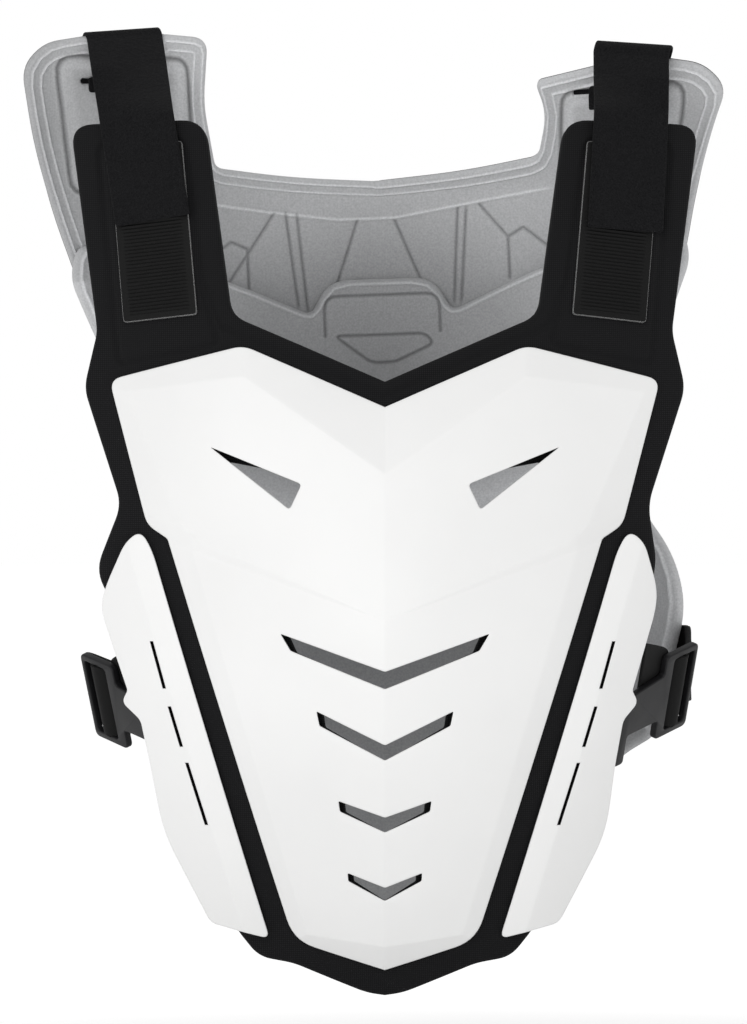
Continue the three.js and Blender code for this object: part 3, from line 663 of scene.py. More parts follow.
# Cuts the active shell along the creases between its facets, on both halves
def cutCreases(pairs, liftOf):
    mesh = bpy.context.object.data
    work = bmesh.new()
    work.from_mesh(mesh)
    for sign in (-1, 1):
        for one, other in pairs:
            constant, perX, perZ = (a - b for a, b in zip(one, other))
            length = math.hypot(perX, perZ)
            normal = Vector((sign * perX, perZ, 0)) / length
            centres = np.array([face.calc_center_median() for face in work.faces])
            x, z = centres[:, 0], centres[:, 1]
            worst = np.maximum(liftAt(one, x, z), liftAt(other, x, z))
            work.faces.ensure_lookup_table()
            close = worst - liftOf(x, z) < chestShell["creaseNear"]
            faces = [work.faces[index] for index in np.nonzero((x * sign > 0) & close)[0]]
            for shift in chestShell["creaseCuts"]:
                faces = cutFaces(work, faces, normal * (shift - constant / length), normal)
    work.to_mesh(mesh)
    work.free()


def makeChestShell():
    half = list(chestShell["corners"].values())
    outlines = [eased(bothHalves(half, half))] + ventOutlines(0, 0, vents["triangle"])
    shell = cutBlank("chest_shell", outlines, chestShell["thick"], chestShell["rim"])
    lifts = chestLifts()
    span, step = chestShell["span"], chestShell["slice"]
    sliceAcross([*chestShell["creaseCuts"], *spaced(*span["x"], step)], spaced(*span["z"], step))
    pairs = [(lifts["chest"], lifts["ramp"]), (lifts["ramp"], lifts["belly"])]
    pairs += [(lifts["chest"], lift) for lift in lifts["upper"]]
    pairs += [(lifts["ramp"], lifts["upper"][2])]
    pairs += [(lifts["belly"], lift) for lift in lifts["lower"]]
    pairs += list(zip(lifts["upper"], lifts["upper"][1:])) + [tuple(lifts["lower"])]
    cutCreases(pairs, chestLift)

    def rule(x, z, depth):
        return np.stack([x, frontFace(x, z) - chestLift(x, z) + depth, z], axis=1)

    bend(shell, rule, chestShell["thick"])
    shell.data.materials.append(shellFinish)
    finishPiece(shell, "chest_plate", chestShell["smooth"])


makeChestShell()

# Flank shells: one face and an inner bevel, with three slots
flankShell = {
    "lift": 8,
    "bevel": 0.4,
    "inner": {"top": (126.5, -287.5), "foot": (63, -496)},
    "tuck": {"left": 0, "right": 5.5},  # how far the outer edge is drawn in
    "corners": [  # each ends with its share of the tuck
        (133, -277, 6, 0),
        (141.5, -283.5, 6, 0),
        (152.8, -308, 8, 0.75),
        (155.8, -320, 8, 1.4),
        (140.5, -364.5, 1.5, 1),
        (144, -371, 4, 1),
        (133.3, -380.5, 3, 0.6),
        (128.3, -404, 4, 0.45),
        (121, -442, 14, 0),
        (95, -491, 4, 0),
        (62.5, -499, 5, 0),
        (126.5, -287.5, 8, 0),
    ],
    "slotGive": 0.45,
    "slots": [
        ((126.7, -337.2), (119.6, -362.8)),
        ((116.9, -372.5), (110.3, -394.3)),
        ((107.4, -403.0), (96.7, -436.7)),
    ],
    "slotWidth": 1.8,
    "span": {"x": (60, 156), "z": (-500, -276)},
    "slice": 7,
}


def makeFlankShell(name, sign):
    half, tuck = flankShell["slotWidth"] / 2, flankShell["tuck"][name]
    edge = [(x - give * tuck, z, ease) for x, z, ease, give in flankShell["corners"]]
    outlines = [eased(sided(edge, sign))]
    shift = flankShell["slotGive"] * tuck
    for (topX, topZ), (footX, footZ) in flankShell["slots"]:
        slot = [(topX - half, topZ), (topX + half, topZ), (footX + half, footZ), (footX - half, footZ)]
        outlines.append(sided([(x - shift, z) for x, z in slot], sign))
    shell = cutBlank(f"flank_shell_{name}", outlines, chestShell["thick"], chestShell["rim"])
    inner = bevelLift(flankShell["inner"]["foot"], flankShell["inner"]["top"], flankShell["bevel"])
    flat = (flankShell["lift"], 0, 0)

    def flankLift(x, z):
        return softMin(liftAt(inner, x, z), liftAt(flat, x, z), chestShell["soft"])

    span = {"x": sorted(sign * x for x in flankShell["span"]["x"]), "z": flankShell["span"]["z"]}
    sliceGrid(span, flankShell["slice"])
    cutCreases([(inner, flat)], flankLift)

    def rule(x, z, depth):
        return np.stack([x, frontFace(x, z) - flankLift(x, z) + depth, z], axis=1)

    bend(shell, rule, chestShell["thick"])
    shell.data.materials.append(shellFinish)
    finishPiece(shell, f"side_plate_{name}", chestShell["smooth"])


for name, sign in sides.items():
    makeFlankShell(name, sign)

# Back yoke: lined inside, with raised lines and cushions pressed into it
tabs = {
    "left": {
        "top": 7,
        "tuck": 0,
        "corner": {"x": 94, "drop": 1, "ease": 8},
        "cushion": 180.5,
        "slotDrop": 23,
        "strap": 140.4,
        "brow": 1.4,
        "dip": 0.9,
    },
    "right": {
        "top": -19,
        "tuck": 4,
        "corner": {"x": 91.5, "drop": 6.5, "ease": 4},
        "cushion": 176,
        "slotDrop": 12,
        "strap": 145,
        "brow": -1.0,
        "dip": 0.6,
    },
}
backYoke = {
    "rim": 2.2,
    "neck": [(0, -75.8), (50, -72.2, 20), (93, -65.8, 5)],
    "tabRoot": {"x": 98, "ease": 10},
    "tabOuter": [(184, -3.5, 8), (197.5, -17, 10)],  # heights from the tab's top
    "side": [  # each ends with its share of the tuck
        (193.5, -52, 16, 0.5),
        (184.5, -92, 16, 1),
        (174, -125, 16, 0),
    ],
    "foot": -206,
    "footCorner": {"x": 150, "ease": 12},
    "slot": {"reach": 20, "half": 2.2, "ease": 1},
    "dip": {"reach": 19.5, "slope": 2, "heights": (0.8, 0.3, 0.2)},
    # Pockets beside the slots: pressed hollows given the black knit as painted shade
    "pockets": {"left": (158, 167.5, 1.5), "right": (113.5, 127, 0.9)},
    "pocket": {"depth": 2.4, "soft": 0.4, "paintedShadeSoft": 0.1},
    "cushionPlan": {  # tops count from the tab's top, and outer corners from the cushion's reach
        "innerTop": (107, -11, 8),
        "outerTop": (0, -9, 12),
        "outerFoot": (-5, -80, 10),
        "innerFoot": (106, -74, 10),
    },
    # Cushions rise, with painted shade (dark) in their creases and a painted highlight (pale) inside their
    # edges
    "cushion": {"rise": 2.0, "soft": 2.8, "crease": 1.2, "creaseHalf": 2.0, "dark": 0.6, "pale": 0.22},
    "brow": {"soft": 10, "middle": 0.75, "half": 0.2},  # painted highlight: a pale band just inside a cushion's edge
    "toneLimits": (0.2, 2),
    "span": {"x": (-200, 200), "z": (-206, 10)},
    "slices": (14, 5.5),
    "edgeLines": (2.6, 7.4),
    "edgeFoot": -130,
    # Raised lines along the upper edge carry a painted highlight (pale)
    "edge": {"half": 1.1, "rise": 0.9, "pale": 0.45},
    "grooves": [
        [(-54, -92), (-48.4, -147)],
        [(-47.5, -93), (-43, -149)],
        [(46.2, -92.5), (42.6, -147)],
        [(51.2, -92.5), (46.8, -147)],
        [(-12.5, -97.5), (-25.4, -134)],
        [(9.5, -98), (23.2, -132)],
        [(-60.8, -92), (-88, -131)],
        [(59, -91), (75, -110), (75.5, -134)],
        [(75, -110), (84, -105), (101, -119)],
        [(-92, -112), (-86, -108), (-77, -112), (-77, -137)],
    ],
    "ridges": [[(-98, -86), (-63, -91.5), (-23.5, -96.6), (9.6, -96.5), (59, -89), (99, -83.5)]],
    # Grooves are pressed in and carry painted shade (dark)
    "groove": {"half": 1.5, "depth": 1.0, "dark": 0.4, "fade": 4},
    "outsideFrom": 3.4,
}


def yokeHalf(name):
    tab, dip, neck = tabs[name], backYoke["dip"], backYoke["neck"]
    top, corner, root, foot = tab["top"], tab["corner"], backYoke["tabRoot"], backYoke["footCorner"]
    inner, outer = tab["strap"] - dip["reach"], tab["strap"] + dip["reach"]
    innerRise, outerRise, pastRise = dip["heights"]
    return [
        *neck,
        (root["x"], (top + neck[-1][1]) / 2, root["ease"]),
        (corner["x"], top - corner["drop"], corner["ease"]),
        (inner - dip["slope"], top + tab["brow"]),
        (inner, top + innerRise - tab["dip"]),
        (outer, top + outerRise - tab["dip"]),
        (outer + dip["slope"], top + pastRise),
        *((x, top + rise, ease) for x, rise, ease in backYoke["tabOuter"]),
        *((x - share * tab["tuck"], z, ease) for x, z, ease, share in backYoke["side"]),
        (foot["x"], backYoke["foot"], foot["ease"]),
        (0, backYoke["foot"]),
    ]


def cushionOutline(name):
    corners = []
    for corner, (x, z, ease) in backYoke["cushionPlan"].items():
        x += tabs[name]["cushion"] if corner.startswith("outer") else 0
        z += tabs[name]["top"] if corner.endswith("Top") else 0
        corners.append((x, z, ease))
    return eased(corners, steps=4)


def makeBackYoke():
    corners = bothHalves(yokeHalf("right"), yokeHalf("left"))
    outlines = [eased(corners)]
    cushions = []
    pockets = []
    for name, sign in sides.items():
        middle, strap = tabs[name]["top"] - tabs[name]["slotDrop"], tabs[name]["strap"]
        reach, half, ease = backYoke["slot"].values()
        hole = box(strap - reach, strap + reach, middle - half, middle + half, ease)
        outlines.append(eased(sided(hole, sign), steps=3))
        inner, outer, half = backYoke["pockets"][name]
        pocket = eased(sided(box(inner, outer, middle - half, middle + half, half), sign), steps=4)
        pockets.append(pocket + pocket[:1])
        ring = sided(cushionOutline(name), sign)
        cushions.append(ring + ring[:1])
    yoke = cutBlank("back_yoke_panel", outlines, foam["yoke"], backYoke["rim"])
    edge = segmentsAbove(corners, backYoke["edgeFoot"])
    groove, cushion, brow, hollow = (backYoke[key] for key in ("groove", "cushion", "brow", "pocket"))
    half, width, (coarse, fine) = groove["half"], backYoke["edge"]["half"], backYoke["slices"]
    sliceGrid(backYoke["span"], coarse)
    score(backYoke["grooves"] + backYoke["ridges"], acrossLine(half))
    soft, crease = cushion["soft"], cushion["creaseHalf"]
    score(cushions, [-soft, -crease, 0, crease, soft])
    score(pockets, [0])
    shifts = [shift for line in backYoke["edgeLines"] for shift in acrossLine(width, -line)]
    score(edge, shifts, relief["edgeReach"])
    sliceGrid(backYoke["span"], fine)
    # Black knit on the outside, and on the pockets as painted shade of their hollow
    centres = np.array([face.center for face in yoke.data.polygons])
    black = centres[:, 2] + foam["yoke"] / 2 > backYoke["outsideFrom"]
    for pocket in pockets:
        black |= insideOf(pocket, centres[:, 0], centres[:, 1], hollow["paintedShadeSoft"]) > 0.5

    def rule(x, z, depth):
        fromEdge = distanceTo(edge, x, z)
        lines = sum(swell(np.abs(fromEdge - line), width) for line in backYoke["edgeLines"])
        lines = lines + swell(distanceTo(backYoke["ridges"], x, z), half)
        grooves = swell(distanceTo(backYoke["grooves"], x, z), half)
        creases = sum(swell(distanceTo([ring], x, z), crease) for ring in cushions)
        raised = sum(insideOf(ring, x, z, soft) for ring in cushions)
        inwards = sum(insideOf(ring, x, z, brow["soft"]) for ring in cushions)
        paintedBrowHighlight = swell(np.abs(inwards - brow["middle"]), brow["half"])
        rise = backYoke["edge"]["rise"] * lines - groove["depth"] * grooves
        rise += cushion["rise"] * raised - cushion["crease"] * creases
        for pocket in pockets:
            rise -= hollow["depth"] * insideOf(pocket, x, z, hollow["soft"])
        # Painted shade in the grooves and cushion creases, painted highlight on the raised lines and inside
        # the cushion edges, times the lining's painted shading
        dark = groove["dark"] * grooves + cushion["dark"] * np.clip(creases, 0, 1)
        pale = backYoke["edge"]["pale"] * lines + cushion["pale"] * paintedBrowHighlight
        setPaintedShading(yoke, liningPaintedShading(x, z) * np.clip(1 + pale - dark, *backYoke["toneLimits"]))
        return layOn(backFace, x, z, depth - rise * fading(depth, groove["fade"]), foam["yoke"] / 2)

    bend(yoke, lambda x, z, depth: rollBack(rule(x, z, depth)), foam["yoke"])
    yoke.data.materials.append(liningFinish)
    yoke.data.materials.append(knitFinish)
    yoke.data.polygons.foreach_set("material_index", black.astype(np.int32))
    finishPiece(yoke, "back_yoke")


makeBackYoke()

# Back panel: lies inside the yoke, with rounded pressed shapes near its top
backPanel = {
    "rim": 3.2,
    "upper": [
        (0, -132),
        (30, -132, 12),
        (41, -151.5, 5),
        (92, -129, 20),
        (171, -108, 8),
        (176, -128, 9),
        (163, -162, 14),
        (140, -215, 30),
        (139, -262, 20),
    ],
    "wing": {"left": 156, "right": 163.5},
    "beside": [(-4, -296, 14), (1, -325, 14), (-18.5, -399, 6), (-34.5, -409, 6)],  # from the wing's edge
    "lower": [
        (113, -424, 14),
        (94, -496, 16),
        (0, -507),
    ],
    "grooves": [
        [(-33.5, -164, 0), (-33.5, -141, 8), (34, -141, 8), (34, -163, 0)],
        [(-28, -164, 4), (25, -164, 4), (30, -170, 4), (7, -180, 4), (-7, -180, 4)],
    ],
    "edgeLines": (2.4,),
    "edgeFoot": -345,
    # The raised edge line carries a painted highlight (pale), and the grooves painted shade (dark)
    "edge": {"half": 1.5, "rise": 0.9, "pale": 0.45},
    "groove": {"half": 1.5, "depth": 1.1, "dark": 0.4, "fade": 5},
    "span": {"x": (-178, 178), "z": (-507, -106)},
    "slices": (14, 6.5),
    "outsideFrom": 6.6,
}


def backHalf(name):
    wing = backPanel["wing"][name]
    beside = [(wing + out, z, ease) for out, z, ease in backPanel["beside"]]
    return backPanel["upper"] + beside + backPanel["lower"]


def makeBackPanel():
    corners = bothHalves(backHalf("right"), backHalf("left"))
    panel = cutBlank("back_panel", [eased(corners)], foam["back"], backPanel["rim"])
    edge = segmentsAbove(corners, backPanel["edgeFoot"])
    grooves = []
    for shape in backPanel["grooves"]:
        path = eased(shape, steps=4)
        grooves.append(path + path[:1] if shape[0][2] else path)
    groove, rim, (coarse, fine) = backPanel["groove"], backPanel["edge"], backPanel["slices"]
    sliceGrid(backPanel["span"], coarse)
    score(grooves, acrossLine(groove["half"]))
    shifts = [shift for line in backPanel["edgeLines"] for shift in acrossLine(rim["half"], -line)]
    score(edge, shifts, relief["edgeReach"])
    sliceGrid(backPanel["span"], fine)
    depths = np.array([face.center.z for face in panel.data.polygons]) + foam["back"] / 2

    def rule(x, z, depth):
        fromEdge = distanceTo(edge, x, z)
        pressed = swell(distanceTo(grooves, x, z), groove["half"])
        lines = sum(swell(np.abs(fromEdge - line), rim["half"]) for line in backPanel["edgeLines"])
        rise = rim["rise"] * lines - groove["depth"] * pressed
        # Painted highlight on the edge line and painted shade in the grooves, times the lining's painted
        # shading
        setPaintedShading(panel, liningPaintedShading(x, z) * (1 + rim["pale"] * lines - groove["dark"] * pressed))
        below = depth - foam["back"] - gap - rise * fading(depth, groove["fade"])
        return layOn(backFace, x, z, below, -gap - foam["back"] / 2)

    bend(panel, lambda x, z, depth: rollBack(rule(x, z, depth)), foam["back"])
    panel.data.materials.append(liningFinish)
    panel.data.materials.append(knitFinish)
    panel.data.polygons.foreach_set("material_index", (depths > backPanel["outsideFrom"]).astype(np.int32))
    finishPiece(panel, "back_pad")


makeBackPanel()


# Keeps a blank's flat places as its UV map, in metres
def layFlat(piece):
    layer = piece.data.uv_layers.new(name="flat")
    for loop in piece.data.loops:
        layer.data[loop.index].uv = piece.data.vertices[loop.vertex_index].co.xy * mm


# Webbing is cut into fine rows, and a slanted end comes straight over its skew run
band = {"row": 1.5, "column": 3, "corner": 1.5, "skewRun": 40}


# A smooth path through stations of (place, across), in millimetres
def smoothPath(stations, spacing):
    places = [Vector(place) for place, across in stations]
    acrosses = [Vector(across) for place, across in stations]
    ends = [places[0] * 2 - places[1], *places, places[-1] * 2 - places[-2]]
    fine, turns = [], []
    for k in range(len(places) - 1):
        a, b, c, d = ends[k : k + 4]
        count = max(2, math.ceil((c - b).length / spacing))
        for step in range(count):
            s = step / count
            squared, cubed = a * 2 - b * 5 + c * 4 - d, b * 3 - a - c * 3 + d
            fine.append((b * 2 + (c - a) * s + squared * s**2 + cubed * s**3) / 2)
            turns.append(acrosses[k].lerp(acrosses[k + 1], s))
    fine.append(places[-1])
    turns.append(acrosses[-1])
    return fine, turns


# A band of webbing laid along its stations
def makeBand(name, stations, webbing, skew=0.0):
    fine, turns = smoothPath(stations, band["row"])
    lengths = np.concatenate([[0], np.cumsum([(b - a).length for a, b in zip(fine, fine[1:])])])
    total = lengths[-1]
    side, thick = webbing["width"] / 2, webbing["thick"]
    outline = eased(box(-side, side, 0, total, band["corner"]), steps=3)
    strap = cutBlank(name, [outline], thick, webbing["rim"])
    sliceAcross(spaced(-side, side, band["column"]), spaced(0, total, band["row"]))
    layFlat(strap)
    runs = [(fine[min(k + 1, len(fine) - 1)] - fine[max(k - 1, 0)]).normalized() for k in range(len(fine))]
    normals = [turn.cross(run).normalized() for turn, run in zip(turns, runs)]

    def at(values, length):
        table = np.array(values)
        return np.stack([np.interp(length, lengths, table[:, k]) for k in range(3)], axis=1)

    def rule(x, z, depth):
        slant = skew * x / side * np.clip(1 - z / band["skewRun"], 0, 1)
        shift = np.array(runs[0]) * np.minimum(z + slant, 0)[:, None]
        z = np.maximum(z + slant, 0)
        lift = depth - thick / 2
        return at(fine, z) + shift + at(turns, z) * x[:, None] + at(normals, z) * lift[:, None]

    bend(strap, rule, thick)
    return strap


def onFront(x, z, depth):
    return Vector(layOn(frontFace, np.array([x]), np.array([z]), depth)[0])


def onBack(x, z, depth):
    return Vector(rollBack(layOn(backFace, np.array([x]), np.array([z]), depth))[0])


# A point of the back at its own height
def levelWithBack(x, z, depth):
    here, there = np.array([x]), np.array([z])
    dx = (backFace(here + 1, there) - backFace(here - 1, there)) / 2
    dz = (backFace(here, there + 1) - backFace(here, there - 1)) / 2
    y = backFace(here, there) + depth * np.sqrt(1 + dx**2 + dz**2)
    return Vector(rollBack(np.stack([here, y, there], axis=1))[0])


loopLook = {
    "low": (0.003, 0.003, 0.0035),
    "high": (0.014, 0.014, 0.015),
    "fuzz": (1500.0, 6.0),
    "clump": (420.0, 3.0),
    "bump": (0.9, 0.0008),
    "sockets": {"Roughness": 0.95, "Specular IOR Level": 0.06, "Sheen Weight": 0.03},
}


def makeLoopFinish():
    finish, nodes, links, shader = newFinish("fuzzy loop webbing")
    fuzz = addNoise(nodes, links, *loopLook["fuzz"])
    clump = addNoise(nodes, links, *loopLook["clump"])
    links.new(addRamp(nodes, links, fuzz, loopLook["low"], loopLook["high"]), shader.inputs["Base Color"])
    setSockets(shader, loopLook["sockets"])
    addBump(nodes, links, shader, addMath(nodes, links, "ADD", fuzz, clump), *loopLook["bump"])
    return finish


elasticLook = {
    "low": (0.004, 0.004, 0.004),
    "high": (0.02, 0.02, 0.02),
    "ramp": (0, 1),
    "pitch": 0.0016,
    "bump": (0.7, 0.0004),
    "sockets": {"Roughness": 0.8, "Specular IOR Level": 0.25},
}


def makeElasticFinish():
    finish, nodes, links, shader = newFinish("woven elastic")
    weave = addKnit(nodes, links, elasticLook["pitch"], "UV", ("X", "Y"))
    colour = addRamp(nodes, links, weave, elasticLook["low"], elasticLook["high"], *elasticLook["ramp"])
    links.new(colour, shader.inputs["Base Color"])
    setSockets(shader, elasticLook["sockets"])
    addBump(nodes, links, shader, weave, *elasticLook["bump"])
    return finish


hookLook = {
    "low": (0.005, 0.005, 0.005),
    "high": (0.27, 0.27, 0.27),
    "ramp": (0.02, 0.24),
    "barbs": (1300.0, 3.0),
    "pitch": 0.002,
    "bump": (0.8, 0.0005),
    "sockets": {"Roughness": 0.6, "Specular IOR Level": 0.15},
}


def makeHookFinish():
    finish, nodes, links, shader = newFinish("hook tape")
    barbs = addNoise(nodes, links, *hookLook["barbs"])
    ribs = addKnit(nodes, links, hookLook["pitch"], "UV", ("Y", "Y"))
    dashes = addMath(nodes, links, "MULTIPLY", barbs, ribs)
    colour = addRamp(nodes, links, dashes, hookLook["low"], hookLook["high"], *hookLook["ramp"])
    links.new(colour, shader.inputs["Base Color"])
    setSockets(shader, hookLook["sockets"])
    addBump(nodes, links, shader, barbs, *hookLook["bump"])
    return finish


loopFinish = makeLoopFinish()
elasticFinish = makeElasticFinish()
hookFinish = makeHookFinish()
print("webbing and tape finishes made")
webbingSmooth = 60  # degrees of turn that stay smooth on webbing and tape

# Hook tape on the front tabs: ribs of hooks between plain selvedges
hookTape = {
    "width": 41,
    "thick": 1.4,
    "rim": 0.4,
    "foot": (122.5, -161.5),
    "length": 98,
    "lean": math.radians(5.6),
    "corner": 2,
    "slice": 4,
    "pitch": 2.0,
    "cutsPerRib": 4,
    "rib": 0.75,
    "sink": 0.3,  # how far the ground between the ribs lies below the selvedge
    "skin": 0.5,  # depth that the ribs reach down to
    "selvedge": 3.6,
    "ramp": 0.7,  # width over which ribs rise from the selvedge
    "plainFoot": {"length": 3, "ramp": 0.5},
}


def makeHookTape(name, sign):
    side, total = hookTape["width"] / 2, hookTape["length"]
    outline = eased(box(-side, side, 0, total, hookTape["corner"]), steps=3)
    tape = cutBlank(f"hook_tape_{name}", [outline], hookTape["thick"], hookTape["rim"])
    inner, ramp, foot = side - hookTape["selvedge"], hookTape["ramp"], hookTape["plainFoot"]
    xs = sorted(spaced(-side, side, hookTape["slice"]) + [-inner, ramp - inner, inner - ramp, inner])
    sliceAcross(xs, spaced(0, total, hookTape["pitch"] / hookTape["cutsPerRib"]))
    layFlat(tape)
    lean = hookTape["lean"]

    def rule(x, z, depth):
        between = np.clip((inner - np.abs(x)) / ramp, 0, 1)
        between = between * np.clip((z - foot["length"]) / foot["ramp"], 0, 1)
        rib = hookTape["rib"] * (0.5 - 0.5 * np.cos(2 * np.pi * z / hookTape["pitch"])) * between
        depth = depth - (rib - hookTape["sink"] * between) * fading(depth, hookTape["skin"])
        placedX = sign * (hookTape["foot"][0] + z * math.sin(lean)) + x * math.cos(lean)
        placedZ = hookTape["foot"][1] + z * math.cos(lean) - sign * x * math.sin(lean)
        return layOn(frontFace, placedX, placedZ, depth - hookTape["thick"] - gap)

    bend(tape, rule, hookTape["thick"])
    tape.data.materials.append(hookFinish)
    finishPiece(tape, f"hook_patch_{name}", webbingSmooth)


for name, sign in sides.items():
    makeHookTape(name, sign)

# Shoulder straps: up the front tab, over the back tab's top edge, down behind it and in by the slot
shoulderStrap = {
    "width": 45,
    "thick": 2,
    "rim": 0.9,
    "frontTop": -46,
    "rows": 5,
    "free": ((0.3, 0.5), (0.6, 0.95), (0.85, 1)),
    "fold": (40, 75, 110, 145, 180),
    "edgeRun": 10,
    "lead": 8,
    "shift": 1.5,
    "left": {
        "end": (126.8, -107.3),
        "skew": 3.4,
        "lean": 0.17,
        "foldDrop": 4.2,
        "fold": {"rise": 1.5, "tilt": 0.068},
        "tail": {"length": 8, "shift": 0},
    },
    "right": {
        "end": (131.6, -112.5),
        "skew": -1.2,
        "lean": 0.068,
        "foldDrop": 1.6,
        "fold": {"rise": 3.8, "tilt": 0.13},
        "tail": {"length": 12, "shift": -3},
    },
}


def makeShoulderStrap(name, sign):
    own = shoulderStrap[name]
    thick, topX = shoulderStrap["thick"], sign * tabs[name]["strap"]
    axisZ = tabs[name]["top"] - own["foldDrop"] + own["fold"]["rise"]
    endX, endZ = own["end"]
    frontSine = endX / float(along(frontForm, "r", np.array(endZ)))
    backSine = topX / float(along(backForm, "r", np.array(axisZ)))
    frontAcross = Vector((math.sqrt(1 - frontSine**2), sign * frontSine, 0))
    backAcross = Vector((math.sqrt(1 - backSine**2), -backSine, 0))
    backAcross.rotate(Matrix.Rotation(-backRoll["angle"], 3, "Y"))
    foldAcross = (backAcross - Vector((0, 0, sign * own["fold"]["tilt"]))).normalized()
    lie = -2 * gap - hookTape["thick"] - thick / 2
    stations = []
    for k in range(shoulderStrap["rows"]):
        z = endZ + (shoulderStrap["frontTop"] - endZ) * k / (shoulderStrap["rows"] - 1)
        stations.append((onFront(sign * (endX + own["lean"] * (z - endZ)), z, lie), frontAcross))
    axis = onBack(topX, axisZ, foam["yoke"] / 2)
    up = (axis - onBack(topX, axisZ - shoulderStrap["edgeRun"], foam["yoke"] / 2)).normalized()
    inward = backAcross.cross(up).normalized()
    lean = tabBend[f"{name}Lean"]
    turn = foam["yoke"] / 2 * math.hypot(1, lean) + 1.5 * gap + thick / 2
    fold = []
    for degrees in shoulderStrap["fold"]:
        angle = math.radians(degrees)
        fold.append(axis + inward * turn * math.cos(angle) + up * turn * math.sin(angle))
    start = stations[-1][0]
    for share, twist in shoulderStrap["free"]:
        stations.append((start.lerp(fold[0], share), frontAcross.lerp(foldAcross, twist)))
    stations += [(place, foldAcross) for place in fold]
    slot = tabs[name]["top"] - tabs[name]["slotDrop"]
    outside = foam["yoke"] + gap + thick
    inside = -backYoke["cushion"]["rise"] - 4 * gap - thick
    tailX = topX + own["tail"]["shift"]
    for x, z, depth in (
        (topX, slot + shoulderStrap["lead"], outside),
        (topX, slot + shoulderStrap["shift"], outside),
        (topX, slot, foam["yoke"] / 2),
        (tailX, slot - shoulderStrap["shift"], inside),
        (tailX, slot - own["tail"]["length"], inside),
    ):
        stations.append((levelWithBack(x, z, depth), backAcross))
    strap = makeBand(f"shoulder_webbing_{name}", stations, shoulderStrap, own["skew"])
    strap.data.materials.append(loopFinish)
    finishPiece(strap, f"shoulder_strap_{name}", webbingSmooth)


for name, sign in sides.items():
    makeShoulderStrap(name, sign)

# Buckles: a frame with a thin bar in its window, and a neck whose cross bar hooks behind the flank shell
buckle = {
    "middle": (158.5, -28, -368),
    "along": (0.63, 0.735, 0.25),
    "up": (0.139, -0.424, 0.895),
    "thick": 4,
    "rim": 0.9,
    "outline": [
        (-17, 26, 4),
        (13, 26, 4),
        (13, -26, 4),
        (-17, -26, 4),
        (-17, -14, 2),
        (-45, -14, 2),
        (-45, -31, 2.5),
        (-53, -31, 2.5),
        (-53, 13, 2.5),
        (-45, 11.2, 2),
        (-17, 14.3, 2),
    ],
    "windows": [(-9, -1.5), (1.5, 10)],
    "windowHalf": 22,
    "windowEase": 2,
    "bar": {"half": 1.6, "over": 1, "share": 0.6, "setback": 0.8},
    "roll": 0.5,  # share of the back's roll
    "smooth": 35,
}


def buckleAxes(sign):
    run = Vector(buckle["along"]).normalized()
    face = run.cross(Vector(buckle["up"])).normalized()
    upright = face.cross(run)
    flip = Vector((sign, 1, 1))
    return [axis * flip for axis in (run, face, upright, Vector(buckle["middle"]))]


buckleLook = {
    "low": (0.007, 0.007, 0.0078),
    "high": (0.012, 0.012, 0.0132),
    "rough": (0.38, 0.5),
    "cloud": 60.0,
    "grain": (2200.0, 2.0),
    "bump": (0.25, 0.0002),
    "sockets": {"Specular IOR Level": 0.22},
}
buckleFinish = makePlastic("dark buckle plastic", buckleLook)


def makeBuckle(name, sign):
    half = buckle["windowHalf"]
    outlines = [eased(buckle["outline"], steps=5)]
    for front, rear in buckle["windows"]:
        outlines.append(eased(box(front, rear, -half, half, buckle["windowEase"]), steps=4))
    clip = cutBlank(f"waist_buckle_{name}", outlines, buckle["thick"], buckle["rim"])
    run, face, upright, middle = (np.array(axis) for axis in buckleAxes(sign))
    bar = buckle["bar"]

    def rule(x, z, depth):
        proud = buckle["thick"] / 2 - depth
        inBar = (np.abs(x) < bar["half"]) & (np.abs(z) < half + bar["over"])
        proud = np.where(inBar, proud * bar["share"] - bar["setback"], proud)
        placed = middle + x[:, None] * run + proud[:, None] * face + z[:, None] * upright
        return rollBack(placed, buckle["roll"])

    bend(clip, rule, buckle["thick"])
    clip.data.materials.append(buckleFinish)
    finishPiece(clip, f"buckle_{name}", buckle["smooth"])


for name, sign in sides.items():
    makeBuckle(name, sign)

# Waist straps: from behind the flank shell, over the buckle's bar, round the wing and along its outside
waistStrap = {
    "width": 43.4,
    "thick": 2,
    "rim": 0.9,
    "rest": {"left": -366, "right": -358},
    "stations": [
        (-34, -3.4, 16.5),
        (-13, -3.4, 7),
        (-7.8, -3.4, 0),
        (-2.2, 1.9, 0),
        (2.2, 1.9, 0),
        (7.8, -3.4, 0),
        (14, -3.8, 0),
        (17, -6.5, 0),
    ],
    "approach": [(1, 20, 0.6), (1.6, 10, 0.9), (1.8, 0, 1)],
    "onWing": (-6.5, -16.5, -31.5, -49.5),
}


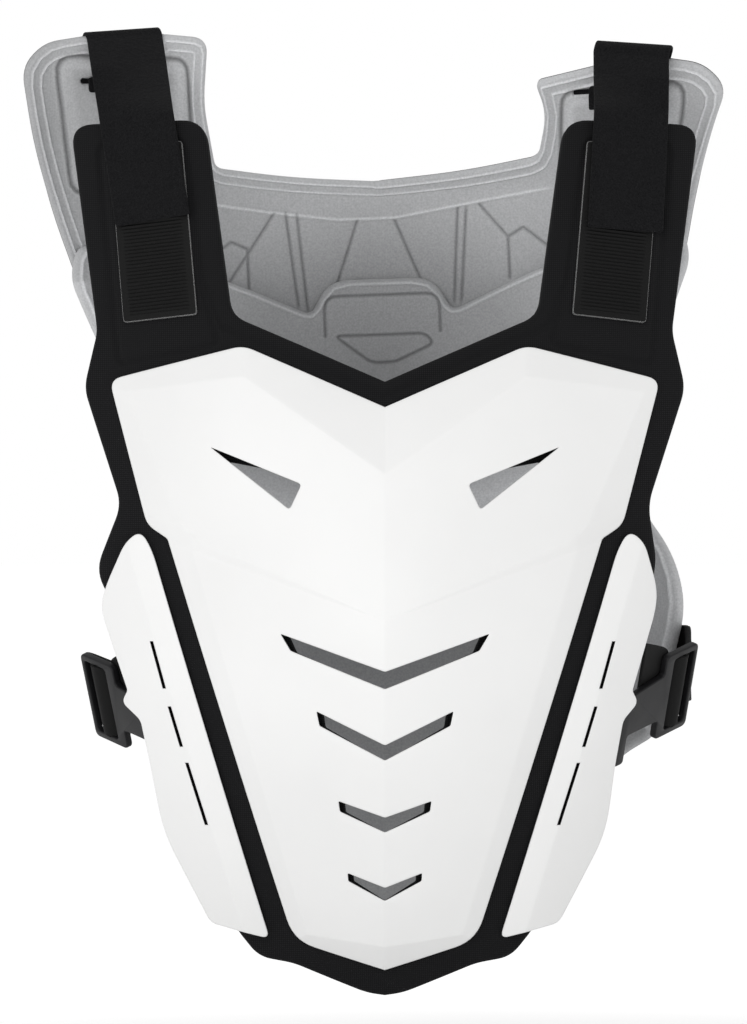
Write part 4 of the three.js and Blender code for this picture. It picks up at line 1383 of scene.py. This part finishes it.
def makeWaistStrap(name, sign):
    run, face, upright, middle = buckleAxes(sign)
    rest, span = waistStrap["rest"][name], waistStrap["width"] / 4
    wing = sign * backPanel["wing"][name]

    def upWing(x):
        return (onBack(x, rest + span, 0) - onBack(x, rest - span, 0)).normalized()

    def withBuckle(place):
        return Vector(rollBack(np.array([place]), buckle["roll"])[0])

    pivot = Vector((0, 0, backRoll["z"]))
    upFrame = withBuckle(upright + pivot) - pivot
    stations = []
    for out, proud, rise in waistStrap["stations"]:
        place = middle + run * out + face * proud + upright * rise
        stations.append((withBuckle(place), upFrame))
    edge = onBack(wing, rest, 0)
    for out, ahead, turn in waistStrap["approach"]:
        place = edge + Vector((sign * out, -ahead, 0))
        stations.append((place, upFrame.lerp(upWing(wing), turn)))
    for inwards in waistStrap["onWing"]:
        x = wing + sign * inwards
        stations.append((onBack(x, rest, gap + waistStrap["thick"] / 2), upWing(x)))
    strap = makeBand(f"waist_elastic_{name}", stations, waistStrap)
    strap.data.materials.append(elasticFinish)
    finishPiece(strap, f"waist_strap_{name}", webbingSmooth)


for name, sign in sides.items():
    makeWaistStrap(name, sign)

# Floor and soft studio light
studio = {
    "floor": -0.62,
    "floorSize": 60,
    "floorLook": {
        "Base Color": (0.93, 0.93, 0.93, 1),
        "Roughness": 0.9,
        "Emission Color": (1, 1, 1, 1),
    },
    "glow": (0.0, 0.42),  # the floor's own light, near the middle and far off
    "glowFrom": (0.25, 0.8),
    "white": (1, 1, 1, 1),
    "sky": 0.65,
    "lamps": {"key": ((-1.3, -2.4, 1.0), 14.0), "front": ((-0.3, -3.2, 0.4), 17.5)},
    "lampSize": 1.8,
    "aim": (0, 0, -0.27),
}


def makeStudio():
    bpy.ops.object.select_all(action="DESELECT")
    bpy.ops.mesh.primitive_plane_add(size=studio["floorSize"], location=(0, 0, studio["floor"]))
    floor = bpy.context.object
    floor.name = "floor"
    finish, nodes, links, shader = newFinish("pale floor")
    setSockets(shader, studio["floorLook"])
    place = nodes.new("ShaderNodeTexCoord")
    away = nodes.new("ShaderNodeVectorMath")
    away.operation = "LENGTH"
    links.new(place.outputs["Object"], away.inputs[0])
    glow = nodes.new("ShaderNodeMapRange")
    setSockets(glow, dict(zip(("From Min", "From Max"), studio["glowFrom"])))
    setSockets(glow, dict(zip(("To Min", "To Max"), studio["glow"])))
    links.new(away.outputs["Value"], glow.inputs["Value"])
    links.new(glow.outputs["Result"], shader.inputs["Emission Strength"])
    floor.data.materials.append(finish)
    world = bpy.data.worlds.new("studio")
    world.use_nodes = True
    bpy.context.scene.world = world
    nodes, links = world.node_tree.nodes, world.node_tree.links
    sky = nodes["Background"]
    setSockets(sky, {"Color": studio["white"], "Strength": studio["sky"]})
    seen = nodes.new("ShaderNodeBackground")
    setSockets(seen, {"Color": studio["white"]})
    path = nodes.new("ShaderNodeLightPath")
    mix = nodes.new("ShaderNodeMixShader")
    links.new(path.outputs["Is Camera Ray"], mix.inputs["Fac"])
    links.new(sky.outputs["Background"], mix.inputs[1])
    links.new(seen.outputs["Background"], mix.inputs[2])
    links.new(mix.outputs["Shader"], nodes["World Output"].inputs["Surface"])
    for name, (place, power) in studio["lamps"].items():
        bpy.ops.object.light_add(type="AREA", location=place)
        lamp = bpy.context.object
        lamp.name = name
        lamp.data.size = studio["lampSize"]
        lamp.data.energy = power
        aim = Vector(studio["aim"]) - Vector(place)
        lamp.rotation_euler = aim.to_track_quat("-Z", "Y").to_euler()
    bpy.context.scene.view_settings.view_transform = "Standard"
    print("floor and lamps set")


makeStudio()
